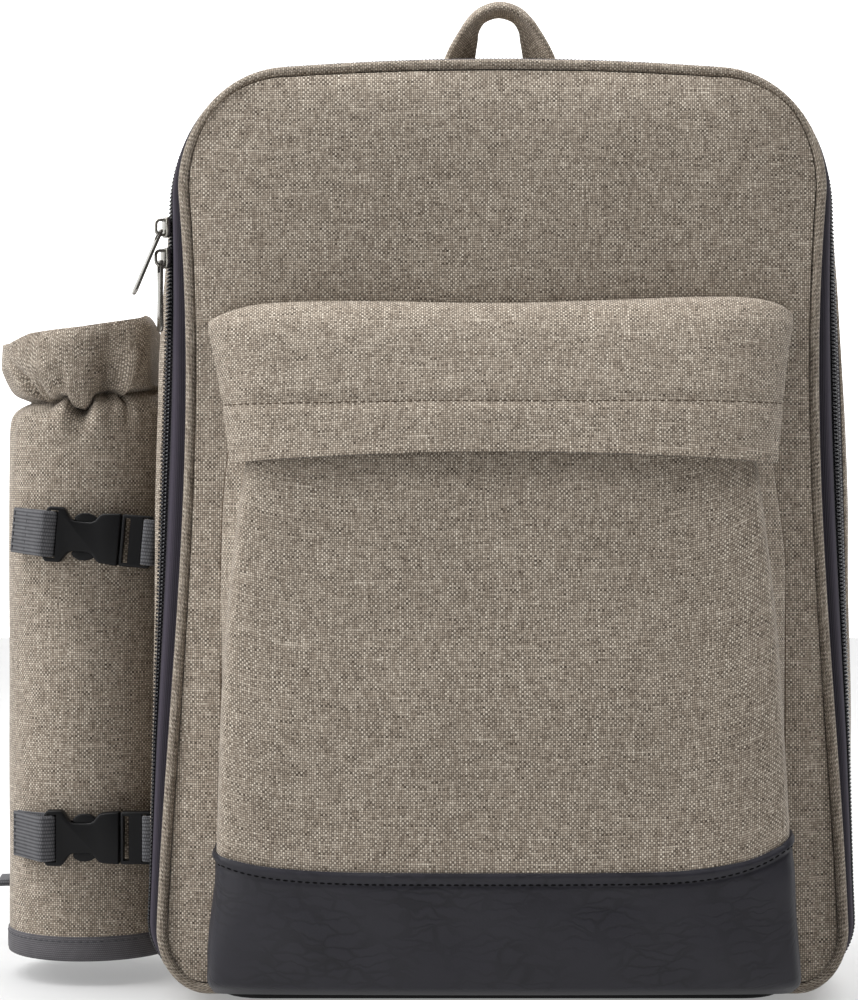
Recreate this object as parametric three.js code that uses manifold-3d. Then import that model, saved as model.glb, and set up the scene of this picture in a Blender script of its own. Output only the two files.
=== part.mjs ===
// Picnic backpack with a piped front, a front pocket under a flap, a zip round the front edge,
// a gathered bottle pouch on two buckled straps at its left side and two shoulder straps behind.
// Millimetres, Z up, the front faces -Y, the origin is under the middle of the base.
import * as THREE from 'three';
import { mergeVertices } from 'three/addons/utils/BufferGeometryUtils.js';
import Module from 'manifold-3d';

const wasm = await Module();
wasm.setup();

// Driving dimensions
const FRONT_Y = -65; // plane of the piped front edge
const BACK_Y = 60; // rear end of the gussets
const FOOT_Z = 4; // underside of the cloth body
const CLOTH = 2; // cloth wall
const TAPE = 1; // zip tape
const GAP = 0.4; // play between sewn pieces
const PIPING_RADIUS = 2.6;
const PANEL_BULGE = 7; // how far the front panel swells out
const ARCH_FOOT_TRIM = 0.004; // share of the side left clear above the foot corner
const FOOT_CORNER = { rx: 22, rz: 27 };
const CORNER_RISE = 5; // how much taller than wide the shoulder corner is
const CROWN = 4; // rise of the top edge between its corners
const SIDE_LOW_Z = 130;
const SIDE_HIGH_Z = 235;

// Outline of the body by depth: half-widths at the foot, waist and shoulder, width of the shoulder corner,
// top height, and how far out the pouch lets the left side come
const DEPTH_SECTIONS = [
  { y: -65, foot: 147, waist: 128, shoulder: 137.8, corner: 47, top: 401, press: 200 },
  { y: -58, foot: 149.5, waist: 135, shoulder: 139.9, corner: 50, top: 402, press: 200 },
  { y: -50, foot: 151.2, waist: 140.5, shoulder: 141.2, corner: 54, top: 403, press: 200 },
  { y: -45.5, foot: 152, waist: 147.6, shoulder: 142.8, corner: 57, top: 403.5, press: 200 },
  { y: -40, foot: 153.4, waist: 153, shoulder: 143.8, corner: 60, top: 404, press: 150.5 },
  { y: -34, foot: 156, waist: 156.5, shoulder: 144, corner: 60, top: 404, press: 148 },
  { y: -8, foot: 155.5, waist: 155.5, shoulder: 143.5, corner: 60, top: 404, press: 144.3 },
  { y: 8, foot: 154.5, waist: 152, shoulder: 143, corner: 60, top: 403.5, press: 143.3 },
  { y: 25, foot: 152, waist: 147, shoulder: 142, corner: 60, top: 403, press: 145 },
  { y: 60, foot: 147, waist: 139, shoulder: 138, corner: 60, top: 400, press: 146 },
];

// Zip round the front edge, from one foot corner over the top to the other
const ZIP_Y = -48;
const CHAIN_WIDTH = 4.4;
const CHAIN_PROUD = 1;
const CHAIN_DEEP = 1.6;
const TAPE_REAR_END = -40.2;

// Front pocket: section heights, half-widths of its face to the right and left, and depth of its face
const POCKET_BASE_HALF = 118.5;
const POCKET_FOOT_Z = 5.4;
const POCKET_TOP_Z = 262;
const LEATHER_Z = 61; // seam between the leather part and the cloth part
const LEATHER_RISE = { right: 14, left: 6.5 }; // how much that seam climbs towards the corners
const POCKET_SECTIONS = [
  { z: 5, right: 121.5, left: 121.5, y: -101 },
  { z: 14, right: 123.5, left: 123.5, y: -107.5 },
  { z: 32, right: 122, left: 122, y: -110 },
  { z: 60, right: 119, left: 119.5, y: -110 },
  { z: 120, right: 116, left: 118, y: -107 },
  { z: 172, right: 112.5, left: 115, y: -102 },
  { z: 220, right: 106.5, left: 109, y: -97 },
  { z: 262, right: 101, left: 102.5, y: -91 },
];
// Underside of the pocket, rising from the panel to the front
const POCKET_UNDERSIDE = [
  { z: 5.4, share: 0.12 },
  { z: 6.6, share: 0.36 },
  { z: 10, share: 0.72 },
  { z: 14, share: 0.94 },
];
const POCKET_PROFILE = [
  { across: 1, out: 0.3 },
  { across: 0.998, out: 0.62 },
  { across: 0.978, out: 0.86 },
  { across: 0.925, out: 0.965 },
  { across: 0.78, out: 0.99 },
  { across: 0.52, out: 1.01 },
  { across: 0.26, out: 1.025 },
  { across: 0, out: 1.03 },
];

// Pocket flap: heights and depths from its hanging edge up to its seam on the panel
const FLAP_PROFILE = [
  { z: 229, y: -100.8, half: 113.5, back: 6, side: 6 },
  { z: 246, y: -99.6, half: 116, back: 8, side: 6 },
  { z: 268, y: -96.4, half: 119, back: 11, side: 6 },
  { z: 284, y: -90.4, half: 121.5, back: 11, side: 5 },
  { z: 293, y: -83.4, half: 122, back: 8, side: 3 },
  { z: 296.5, y: -78, half: 120.5, back: 4.5, side: 1 },
  { z: 295.5, y: -74.5, half: 119, back: 2, side: 0 },
  { z: 291, y: -72.6, half: 118, back: 0, side: 0 },
];
const FLAP_ARCH = 4.5; // lift of the hanging edge at its middle
const FLAP_COLUMNS = [-1, -0.98, -0.94, -0.86, -0.74, -0.5, -0.25, 0, 0.25, 0.5, 0.74, 0.86, 0.94, 0.98, 1];

// Carry loop: right half of the band from its seam up to its top
const LOOP_Y = -22;
const LOOP_BAND = { width: 20, thick: 3.6 };
const LOOP_STATIONS = [
  { x: 19.6, z: 405, turn: 51 },
  { x: 18.6, z: 411.5, turn: 57 },
  { x: 16.6, z: 419, turn: 69 },
  { x: 13.4, z: 425.4, turn: 78 },
  { x: 8, z: 431.6, turn: 85 },
  { x: 0, z: 435, turn: 90 },
];

// Bottle pouch: wall radius by height, with the depth of its gathers
const POUCH = { x: -184, y: 8, radius: 38.6, wall: 2.6, columns: 36, folds: 9 };
const POUCH_PROFILE = [
  { z: 11, r: 38, fold: 0, rim: 0 },
  { z: 20, r: 38.5, fold: 0, rim: 0 },
  { z: 70, r: 38.6, fold: 0, rim: 0 },
  { z: 135, r: 38.6, fold: 0, rim: 0 },
  { z: 200, r: 38.6, fold: 0, rim: 0 },
  { z: 228, r: 38, fold: 0.5, rim: 0 },
  { z: 244, r: 36, fold: 1.5, rim: 0 },
  { z: 256, r: 32, fold: 2.4, rim: 0.1 },
  { z: 262, r: 30.5, fold: 2.6, rim: 0.25 },
  { z: 267, r: 32, fold: 2.3, rim: 0.4 },
  { z: 276, r: 35, fold: 1.5, rim: 0.75 },
  { z: 285, r: 36.5, fold: 1, rim: 1 },
];
const POUCH_RIM_TILT = 11; // the rim is higher on the side towards the bag
const BINDING = { foot: 10.6, top: 21.2, thick: 1.2 };
const POUCH_BASE = { foot: 11, thick: 3 };

// Straps round the pouch, with side-release buckles
const STRAP = { width: 20, thick: 1.3 };
const STRAP_LEVELS = [
  { name: 'upper', z: 197, tilt: 5 },
  { name: 'lower', z: 66, tilt: 0 },
];
const BUCKLE = { x: -175, back: -31.7, thick: 6.5 };
const SOCKET_EDGE = [
  { u: -24.3, v: 11.2 },
  { u: -23.2, v: 12.1 },
  { u: -16.6, v: 12.1 },
  { u: -12.8, v: 6.6 },
  { u: -5.2, v: 6.6 },
  { u: -1.8, v: 10.8 },
  { u: 8.6, v: 11.5 },
];
const SOCKET_SLOT = { from: -22, to: -17.8, half: 10.4 };
const SOCKET_BAR = -23.1; // middle of the bar that the sewn webbing goes round
const SOCKET_CAVITY = { from: -13, half: 8.6, thick: 3.5 };
const PLUG_FRAME = { from: 9, to: 22.5, half: 11.4 };
const PLUG_SLOTS = [
  { from: 10.3, to: 12.8, half: 9.8 },
  { from: 18.2, to: 20.4, half: 10.4 },
];
const PLUG_PRONG = [
  { u: 9.6, inner: 5.2, outer: 8.2 },
  { u: -3.9, inner: 5.2, outer: 8.2 },
  { u: -5.4, inner: 5.4, outer: 9.8 },
  { u: -8.2, inner: 5.6, outer: 10.3 },
  { u: -11, inner: 6.4, outer: 8.2 },
];

// Zip sliders and their pulls, on the left side
const SLIDERS = [
  { name: 'upper', z: 331.3, rest: 23.5 },
  { name: 'lower', z: 318, rest: 0 },
];
const SLIDER = { half: 4.4, width: 7, plate: 2.2, seat: 0.6 };
const BAIL = { half: 3.9, height: 4.2, wire: 1.3, width: 1.4 };
const PULL = {
  length: 30.4,
  width: 5.2,
  thick: 1.2,
  eye: 1.45,
  eyeEnd: 4.7,
  bar: 0.55,
  pivotUp: 1.5,
  pivotDown: 1.6,
};

// Back panel and shoulder straps
const BACK_THICK = 6;
const BACK_PILLOW = 3;
const BACK_FACE = BACK_Y + GAP + BACK_THICK;
const PAD_THICK = 8;
const PAD_STATIONS = [
  { z: 386, x: 44, y: 75.8, half: 25 },
  { z: 366, x: 48, y: 83.5, half: 27 },
  { z: 330, x: 56, y: 92, half: 29 },
  { z: 285, x: 68, y: 96, half: 29 },
  { z: 240, x: 80, y: 94, half: 28 },
  { z: 200, x: 88, y: 88, half: 25 },
  { z: 174, x: 92, y: 83, half: 18 },
  { z: 164, x: 93, y: 81, half: 13 },
];
const SHOULDER_WEBBING = [
  { x: 93.2, y: 78, z: 164.3, turn: 0, lean: 0 },
  { x: 99, y: 77, z: 131, turn: 0, lean: 8 },
  { x: 105.6, y: 75.4, z: 99, turn: 0, lean: 11.3 },
  { x: 112.2, y: 74.2, z: 67.9, turn: 0, lean: 11.3 },
];
const ADJUSTER = { x: 114.4, y: 74.6, z: 57, width: 32, height: 21, thick: 3.6, lean: 11.3 };
const ADJUSTER_SLOTS = [
  { low: -7.4, high: -3.6, half: 13 },
  { low: 2.6, high: 6.8, half: 13.5 },
];
const STRAP_TAB = [
  { x: 116.6, y: 74.2, z: 46.1, turn: 0, lean: 11.3 },
  { x: 118.4, y: 71.6, z: 36, turn: 0, lean: 8 },
  { x: 120, y: 68.9, z: 23, turn: 0, lean: 4 },
];
const WEBBING = { half: 12.5, thick: 1.6 };
const TAIL_LEFT = [
  { x: -115.5, y: 76.6, z: 56, turn: 0, lean: 11.3 },
  { x: -124, y: 82, z: 47, turn: 25, lean: 8 },
  { x: -142, y: 84, z: 39, turn: 55, lean: 4 },
  { x: -172, y: 83, z: 34, turn: 82, lean: 0 },
  { x: -205, y: 80, z: 31, turn: 90, lean: 0 },
  { x: -220, y: 79, z: 30, turn: 90, lean: 0 },
  { x: -222, y: 78.8, z: 30.6, turn: 90, lean: 0 },
  { x: -239, y: 77.5, z: 29.4, turn: 90, lean: 0 },
];
const TAIL_HALF = 10;
const TAIL_HEM = 3.6; // folded end of the tail
const TAIL_RIGHT = [
  { x: 115.5, y: 76.6, z: 56, turn: 0, lean: 11.3 },
  { x: 118.5, y: 81, z: 40, turn: 0, lean: 11.3 },
  { x: 121.5, y: 82, z: 22, turn: 0, lean: 9 },
  { x: 123.5, y: 81, z: 8, turn: 0, lean: 6 },
];

// Black base under the body
const BASE = { half: 121, front: -57, back: 56, thick: 3.6, corner: 18 };

const CLOTH_LOOK = { color: 0x8f8476, roughness: 0.92, metalness: 0 };
const LEATHER_LOOK = { color: 0x2b2a30, roughness: 0.5, metalness: 0 };
const BLACK_LOOK = { color: 0x131215, roughness: 0.7, metalness: 0 };
const TAPE_LOOK = { color: 0x3c3840, roughness: 0.8, metalness: 0 };
const CHAIN_LOOK = { color: 0x101012, roughness: 0.45, metalness: 0 };
const NICKEL_LOOK = { color: 0xb9b6ae, roughness: 0.25, metalness: 1 };
const WEBBING_LOOK = { color: 0x5c5c5f, roughness: 0.85, metalness: 0 };
const PLASTIC_LOOK = { color: 0x161618, roughness: 0.4, metalness: 0 };
const BINDING_LOOK = { color: 0x474548, roughness: 0.85, metalness: 0 };

const bag = new THREE.Group();
bag.name = 'picnic_backpack';

function blend(a, b, t) {
  return a + (b - a) * t;
}

// Row of a table at any value of its key column, blended between its neighbours
function rowAt(table, key, value) {
  const last = table.length - 1;
  const i = Math.max(0, Math.min(last - 1, table.findIndex((row) => row[key] > value) - 1));
  const k = value >= table[last][key] ? last - 1 : i;
  const t = THREE.MathUtils.clamp((value - table[k][key]) / (table[k + 1][key] - table[k][key]), 0, 1);
  const row = {};
  for (const name of Object.keys(table[k])) {
    row[name] = blend(table[k][name], table[k + 1][name], t);
  }
  return row;
}

function addPart(name, geometry, look) {
  const material = new THREE.MeshStandardMaterial(look);
  const mesh = new THREE.Mesh(facingOut(geometry), material);
  mesh.name = name;
  bag.add(mesh);
}

function welded(geometry) {
  const plain = geometry.clone();
  plain.deleteAttribute('normal');
  plain.deleteAttribute('uv');
  return mergeVertices(plain, 1e-4);
}

function signedVolume(geometry) {
  const position = geometry.attributes.position;
  const index = geometry.index.array;
  const [a, b, c] = [new THREE.Vector3(), new THREE.Vector3(), new THREE.Vector3()];
  let volume = 0;
  for (let i = 0; i < index.length; i += 3) {
    a.fromBufferAttribute(position, index[i]);
    b.fromBufferAttribute(position, index[i + 1]);
    c.fromBufferAttribute(position, index[i + 2]);
    volume += a.dot(b.cross(c)) / 6;
  }
  return volume;
}

function facingOut(geometry) {
  const shape = welded(geometry);
  if (signedVolume(shape) < 0) {
    const index = shape.index.array;
    for (let i = 0; i < index.length; i += 3) {
      [index[i + 1], index[i + 2]] = [index[i + 2], index[i + 1]];
    }
  }
  shape.computeVertexNormals();
  return shape;
}

function toSolid(geometry) {
  const shape = facingOut(geometry);
  const vertProperties = Float32Array.from(shape.attributes.position.array);
  const triVerts = Uint32Array.from(shape.index.array);
  return new wasm.Manifold(new wasm.Mesh({ numProp: 3, vertProperties, triVerts }));
}

function fromSolid(solid) {
  const mesh = solid.getMesh();
  const geometry = new THREE.BufferGeometry();
  const points = new Float32Array((mesh.vertProperties.length / mesh.numProp) * 3);
  for (let i = 0; i < points.length / 3; i += 1) {
    for (let k = 0; k < 3; k += 1) {
      points[i * 3 + k] = mesh.vertProperties[i * mesh.numProp + k];
    }
  }
  geometry.setAttribute('position', new THREE.BufferAttribute(points, 3));
  geometry.setIndex(Array.from(mesh.triVerts));
  return geometry;
}

// Wall of even thickness behind a grid of points on its outer face. Seen from outside,
// the points of a row run to the right and the rows run upwards. A round wall closes on itself.
// The thickness is one number, or one for each row.
function wall(rows, thickness, round = false) {
  const m = rows.length;
  const n = rows[0].length;
  const clamp = (k, top) => Math.max(0, Math.min(top - 1, k));
  const at = (i, j) => rows[clamp(i, m)][round ? (j + n) % n : clamp(j, n)];
  const points = [];
  const inner = [];
  for (let i = 0; i < m; i += 1) {
    for (let j = 0; j < n; j += 1) {
      const along = at(i, j + 1).clone().sub(at(i, j - 1));
      const up = at(i + 1, j).clone().sub(at(i - 1, j));
      const normal = along.cross(up).normalize();
      points.push(at(i, j));
      const depth = Array.isArray(thickness) ? thickness[i] : thickness;
      inner.push(at(i, j).clone().addScaledVector(normal, -depth));
    }
  }
  const total = points.length;
  const all = points.concat(inner);
  const index = [];
  const quad = (a, b, c, d) => index.push(a, b, c, a, c, d);
  const out = (i, j) => i * n + (j % n);
  const back = (i, j) => total + out(i, j);
  const columns = round ? n : n - 1;
  for (let j = 0; j < columns; j += 1) {
    for (let i = 0; i < m - 1; i += 1) {
      quad(out(i, j), out(i, j + 1), out(i + 1, j + 1), out(i + 1, j));
      quad(back(i, j), back(i + 1, j), back(i + 1, j + 1), back(i, j + 1));
    }
    quad(back(0, j), back(0, j + 1), out(0, j + 1), out(0, j));
    quad(out(m - 1, j), out(m - 1, j + 1), back(m - 1, j + 1), back(m - 1, j));
  }
  if (!round) {
    for (let i = 0; i < m - 1; i += 1) {
      quad(back(i, 0), out(i, 0), out(i + 1, 0), back(i + 1, 0));
      quad(out(i, n - 1), back(i, n - 1), back(i + 1, n - 1), out(i + 1, n - 1));
    }
  }
  const geometry = new THREE.BufferGeometry();
  geometry.setFromPoints(all);
  geometry.setIndex(index);
  return geometry;
}

// Flat band along a path, its width set across the path
function band(points, width, thickness, steps) {
  const section = new THREE.Shape();
  section.moveTo(-width / 2, -thickness / 2);
  section.lineTo(width / 2, -thickness / 2);
  section.lineTo(width / 2, thickness / 2);
  section.lineTo(-width / 2, thickness / 2);
  section.closePath();
  const path = new THREE.CatmullRomCurve3(points, false, 'centripetal');
  return new THREE.ExtrudeGeometry(section, { steps, extrudePath: path });
}

// Strap behind the bag: its stations carry the middle of the strap, the turn of its width
// about the upright and its lean towards the outer side
function strip(stations, half, thickness) {
  const rows = stations.map((s) => {
    const turn = THREE.MathUtils.degToRad(s.turn);
    const lean = THREE.MathUtils.degToRad(s.lean) * Math.sign(s.x);
    const across = new THREE.Vector3(Math.cos(turn) * Math.cos(lean), Math.sin(turn), Math.sin(lean));
    across.normalize();
    const middle = new THREE.Vector3(s.x, s.y, s.z);
    return [-1, 0, 1].map((k) => middle.clone().addScaledVector(across, k * half));
  });
  return wall(rows, thickness);
}

// Half outline of the body: foot line, foot corner, side, shoulder corner, crown
function halfOutline(section) {
  const cornerTall = section.corner + CORNER_RISE;
  const shoulderZ = section.top - CROWN - cornerTall;
  const shoulderX = section.shoulder - section.corner;
  const footX = section.foot - FOOT_CORNER.rx;
  const footZ = FOOT_Z + FOOT_CORNER.rz;
  const path = new THREE.Path();
  path.moveTo(0, FOOT_Z);
  path.lineTo(footX, FOOT_Z);
  path.absellipse(footX, footZ, FOOT_CORNER.rx, FOOT_CORNER.rz, -Math.PI / 2, 0, false, 0);
  path.bezierCurveTo(section.foot - 4, SIDE_LOW_Z, section.waist, SIDE_HIGH_Z, section.shoulder, shoulderZ);
  path.absellipse(shoulderX, shoulderZ, section.corner, cornerTall, 0, Math.PI / 2, false, 0);
  path.quadraticCurveTo(shoulderX / 2, section.top, 0, section.top);
  return path.curves.filter((curve) => curve.getLength() > 1e-6);
}

function sample(curve, count, from = 0, to = 1) {
  return Array.from({ length: count + 1 }, (_, i) => curve.getPoint(blend(from, to, i / count)));
}

function joinRuns(runs) {
  return runs.flatMap((run, i) => (i === 0 ? run : run.slice(1)));
}

// Moves the points of an open run along its own normals, to its left seen along the run
function shifted(points, distance) {
  return points.map((p, i) => {
    const before = points[Math.max(0, i - 1)];
    const after = points[Math.min(points.length - 1, i + 1)];
    const along = after.clone().sub(before).normalize();
    return new THREE.Vector2(p.x - along.y * distance, p.y + along.x * distance);
  });
}

function mirrored(points) {
  return points.map((p) => new THREE.Vector2(-p.x, p.y)).reverse();
}

function pressed(points, section) {
  return points.map((p) => new THREE.Vector2(Math.max(p.x, -section.press), p.y));
}

// Left foot over the top to the right foot at one depth, moved outwards by grow
function arch(y, grow = 0) {
  const section = rowAt(DEPTH_SECTIONS, 'y', y);
  const [, , side, shoulder, crown] = halfOutline(section);
  const right = joinRuns([sample(side, 9, ARCH_FOOT_TRIM), sample(shoulder, 7), sample(crown, 4)]);
  const run = joinRuns([mirrored(right).reverse(), right.slice().reverse()]);
  return pressed(shifted(run, grow), section);
}

// Left foot corner along the bottom to the right foot corner at one depth
function footRun(y, grow = 0) {
  const section = rowAt(DEPTH_SECTIONS, 'y', y);
  const [line, corner] = halfOutline(section);
  const right = joinRuns([sample(line, 2), sample(corner, 5, 0, 0.99)]);
  const run = joinRuns([mirrored(right), right]);
  return pressed(shifted(run, -grow), section);
}

function atDepth(points, y) {
  return points.map((p) => new THREE.Vector3(p.x, y, p.y));
}

// Whole outline at one depth in four sides, bottom, right, top and left, with closer points at the corners
function fourSides(y, inset, across, up) {
  const section = rowAt(DEPTH_SECTIONS, 'y', y);
  const [line, corner, side, shoulder, crown] = halfOutline(section);
  const half = joinRuns([
    sample(line, 6),
    sample(corner, 8),
    sample(side, 16),
    sample(shoulder, 10),
    sample(crown, 6),
  ]);
  const run = shifted(half, inset);
  run[0].x = 0;
  run[run.length - 1].x = 0;
  const lowCut = 6 + 4;
  const highCut = 6 + 8 + 16 + 5;
  const evenly = (points, count) => {
    const path = new THREE.CurvePath();
    for (let i = 1; i < points.length; i += 1) {
      path.add(new THREE.LineCurve(points[i - 1], points[i]));
    }
    const closer = (t) => t - 0.085 * Math.sin(2 * Math.PI * t);
    return Array.from({ length: count + 1 }, (_, i) => path.getPointAt(closer(i / count)));
  };
  const lowRight = run.slice(0, lowCut + 1);
  const right = evenly(run.slice(lowCut, highCut + 1), up);
  const topRight = run.slice(highCut).reverse();
  const bottom = evenly(joinRuns([mirrored(lowRight), lowRight]), across);
  const top = evenly(joinRuns([mirrored(topRight), topRight]), across);
  const left = right.map((p) => new THREE.Vector2(-p.x, p.y));
  return { bottom, right, top, left };
}

// Grid of points filling the outline, rows from the bottom to the top
function filled(sides) {
  const n = sides.bottom.length - 1;
  const m = sides.right.length - 1;
  const mix = (a, b, t) => a.clone().lerp(b, t);
  return Array.from({ length: m + 1 }, (_, i) => {
    const v = i / m;
    return Array.from({ length: n + 1 }, (__, j) => {
      const u = j / n;
      const low = mix(sides.bottom[j], sides.top[j], v);
      const wide = mix(sides.left[i], sides.right[i], u);
      const cornerLow = mix(sides.bottom[0], sides.bottom[n], u);
      const cornerHigh = mix(sides.top[0], sides.top[n], u);
      return low.add(wide).sub(mix(cornerLow, cornerHigh, v));
    });
  });
}

function swell(x, z) {
  const byWidth = Math.max(0, 1 - (x / 137) ** 4);
  const byHeight = Math.max(0, 1 - ((z - 202) / 198) ** 4);
  return byWidth * byHeight;
}

function panelY(x, z) {
  return FRONT_Y - PANEL_BULGE * swell(x, z);
}

function backY(x, z) {
  return BACK_FACE + BACK_PILLOW * swell(x, z);
}

// Where a pocket piece meets the front panel or the piping below it
function seatY(x, z) {
  const onPanel = panelY(x, z) - GAP;
  return z < 13 ? Math.min(onPanel, FRONT_Y - PIPING_RADIUS - GAP) : onPanel;
}

function makeBody() {
  const inset = 2 * PIPING_RADIUS + 2.5 * GAP;
  const panelGrid = filled(fourSides(FRONT_Y, inset, 12, 14));
  const panelRows = panelGrid.map((row) => row.map((p) => new THREE.Vector3(p.x, panelY(p.x, p.y), p.y)));
  addPart('front_panel', wall(panelRows, CLOTH), CLOTH_LOOK);

  const [line, corner, side, shoulder, crown] = halfOutline(DEPTH_SECTIONS[0]);
  const half = joinRuns([
    sample(line, 4),
    sample(corner, 6),
    sample(side, 12),
    sample(shoulder, 8),
    sample(crown, 4),
  ]);
  const centre = shifted(half, PIPING_RADIUS);
  centre[0].x = 0.2;
  centre[centre.length - 1].x = 0;
  const loop = joinRuns([centre, mirrored(centre)]);
  const pipingPath = new THREE.CatmullRomCurve3(atDepth(loop, FRONT_Y), false, 'centripetal');
  const cord = new THREE.Shape(new THREE.EllipseCurve(0, 0, PIPING_RADIUS, PIPING_RADIUS).getPoints(6));
  const piping = new THREE.ExtrudeGeometry(cord, { steps: 92, extrudePath: pipingPath });
  addPart('front_piping', piping, CLOTH_LOOK);

  const tuck = FRONT_Y + PIPING_RADIUS + GAP;
  const frontEnd = ZIP_Y - CHAIN_WIDTH / 2 - GAP;
  const rearStart = ZIP_Y + CHAIN_WIDTH / 2 + 2.5 * GAP;
  const frontTape = [
    atDepth(arch(tuck, -2.6), tuck),
    atDepth(arch(tuck + 2.4, 0), tuck + 2.4),
    atDepth(arch(tuck + 7, 0.4), tuck + 7),
    atDepth(arch(frontEnd, 0), frontEnd),
  ];
  addPart('zip_tape_front', wall(frontTape, TAPE), TAPE_LOOK);
  const rearTape = [atDepth(arch(rearStart), rearStart), atDepth(arch(TAPE_REAR_END), TAPE_REAR_END)];
  addPart('zip_tape_rear', wall(rearTape, TAPE), TAPE_LOOK);
  const chainRows = [ZIP_Y - CHAIN_WIDTH / 2, ZIP_Y + CHAIN_WIDTH / 2];
  const chain = chainRows.map((y) => atDepth(arch(y, CHAIN_PROUD), y));
  addPart('zip_chain', wall(chain, CHAIN_PROUD + CHAIN_DEEP), CHAIN_LOOK);

  const sideStart = TAPE_REAR_END + 2.5 * GAP;
  const sideDepths = [sideStart, -34, -28, -19, -8, 0, 8, 16, 25, 42, BACK_Y];
  addPart('side_gusset', wall(sideDepths.map((y) => atDepth(arch(y), y)), CLOTH), CLOTH_LOOK);

  const footDepths = [-58, -50, -45.5, -40, -30, -8, 8, 25, BACK_Y];
  const foot = [
    atDepth(footRun(tuck, -2.6), tuck),
    ...footDepths.map((y) => atDepth(footRun(y), y)),
  ].reverse();
  addPart('bottom_gusset', wall(foot, CLOTH), CLOTH_LOOK);

  const backGrid = filled(fourSides(BACK_Y, 0.5, 12, 14)).reverse();
  const backRows = backGrid.map((row) => row.map((p) => new THREE.Vector3(p.x, backY(p.x, p.y), p.y)));
  addPart('back_panel', wall(backRows, BACK_THICK), CLOTH_LOOK);

  const base = new THREE.Shape();
  const { half: w, front, back, corner: r } = BASE;
  base.moveTo(-w + r, front);
  base.lineTo(w - r, front);
  base.absarc(w - r, front + r, r, -Math.PI / 2, 0, false);
  base.lineTo(w, back - r);
  base.absarc(w - r, back - r, r, 0, Math.PI / 2, false);
  base.lineTo(-w + r, back);
  base.absarc(-w + r, back - r, r, Math.PI / 2, Math.PI, false);
  base.lineTo(-w, front + r);
  base.absarc(-w + r, front + r, r, Math.PI, Math.PI * 1.5, false);
  const plate = new THREE.ExtrudeGeometry(base, { depth: BASE.thick, bevelEnabled: false, curveSegments: 6 });
  addPart('base_panel', plate, BLACK_LOOK);
}

// One side of a pocket section, from its seam on the panel to the middle of the face
function pocketHalf(hand, zOf, outShare) {
  const half = POCKET_PROFILE.map(({ across, out }) => {
    const z = zOf(across, hand);
    const section = rowAt(POCKET_SECTIONS, 'z', z);
    const x = section[hand] * across;
    const seat = seatY(x, z);
    return new THREE.Vector3(x, seat + (section.y - seat) * out * outShare, z);
  });
  const seamZ = zOf(1, hand);
  const seamFace = rowAt(POCKET_SECTIONS, 'z', seamZ)[hand];
  const seamX = Math.max(seamFace + 0.5, Math.min(POCKET_BASE_HALF, seamFace + 8));
  const seamY = seatY(seamX, seamZ);
  const edge = outShare;
  half.unshift(
    new THREE.Vector3(seamX, seamY, seamZ),
    new THREE.Vector3(seamX - 0.2 * edge, seamY - 3 * edge, seamZ),
  );
  return half;
}

// One pocket section: points from the left seam round the face to the right seam
function pocketRow(zOf, outShare = 1) {
  const left = pocketHalf('left', zOf, outShare).map((p) => new THREE.Vector3(-p.x, p.y, p.z));
  const right = pocketHalf('right', zOf, outShare);
  return left.concat(right.slice(0, -1).reverse());
}

function leatherSeam(across, hand) {
  return LEATHER_Z + LEATHER_RISE[hand] * across ** 6;
}

function makePocket() {
  const clothShares = [0, 0.14, 0.3, 0.46, 0.62, 0.8, 1];
  const cloth = clothShares.map((t) => pocketRow((across, hand) => (
    blend(leatherSeam(across, hand) + GAP / 2, POCKET_TOP_Z, t)
  )));
  addPart('front_pocket', wall(cloth, CLOTH), CLOTH_LOOK);

  const bottom = POCKET_UNDERSIDE.map((row) => pocketRow(() => row.z, row.share));
  const leatherShares = [0.23, 0.4, 0.68, 1];
  const front = leatherShares.map((t) => pocketRow((across, hand) => (
    blend(POCKET_FOOT_Z, leatherSeam(across, hand) - GAP / 2, t)
  )));
  addPart('pocket_base', wall(bottom.concat(front), CLOTH), LEATHER_LOOK);

  const flap = FLAP_PROFILE.map((row, i) => FLAP_COLUMNS.map((across) => {
    const lift = FLAP_ARCH * (1 - across ** 2) * Math.max(0, 1 - i / 2);
    const fall = 5 * Math.abs(across) ** 12 * Math.min(1, Math.max(0, i - 3) / 2);
    const x = row.half * across;
    const z = row.z + lift - fall;
    const y = row.y + row.back * Math.abs(across) ** 7 + row.side * Math.abs(across) ** 36;
    const last = i === FLAP_PROFILE.length - 1;
    return new THREE.Vector3(x, last ? seatY(x, z) - 0.6 : y, z);
  }));
  addPart('pocket_flap', wall(flap, CLOTH), CLOTH_LOOK);
}

function makeLoop() {
  const right = LOOP_STATIONS.map((s) => {
    const turn = THREE.MathUtils.degToRad(s.turn);
    const across = new THREE.Vector3(-Math.cos(turn), Math.sin(turn), 0);
    const middle = new THREE.Vector3(s.x, LOOP_Y, s.z);
    return [-0.5, 0, 0.5].map((k) => middle.clone().addScaledVector(across, k * LOOP_BAND.width));
  });
  const left = right.slice(0, -1).map((row) => row.map((p) => new THREE.Vector3(-p.x, p.y, p.z)));
  const rows = right.concat(left.reverse());
  addPart('carry_loop', wall(rows, LOOP_BAND.thick), CLOTH_LOOK);
}

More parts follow.
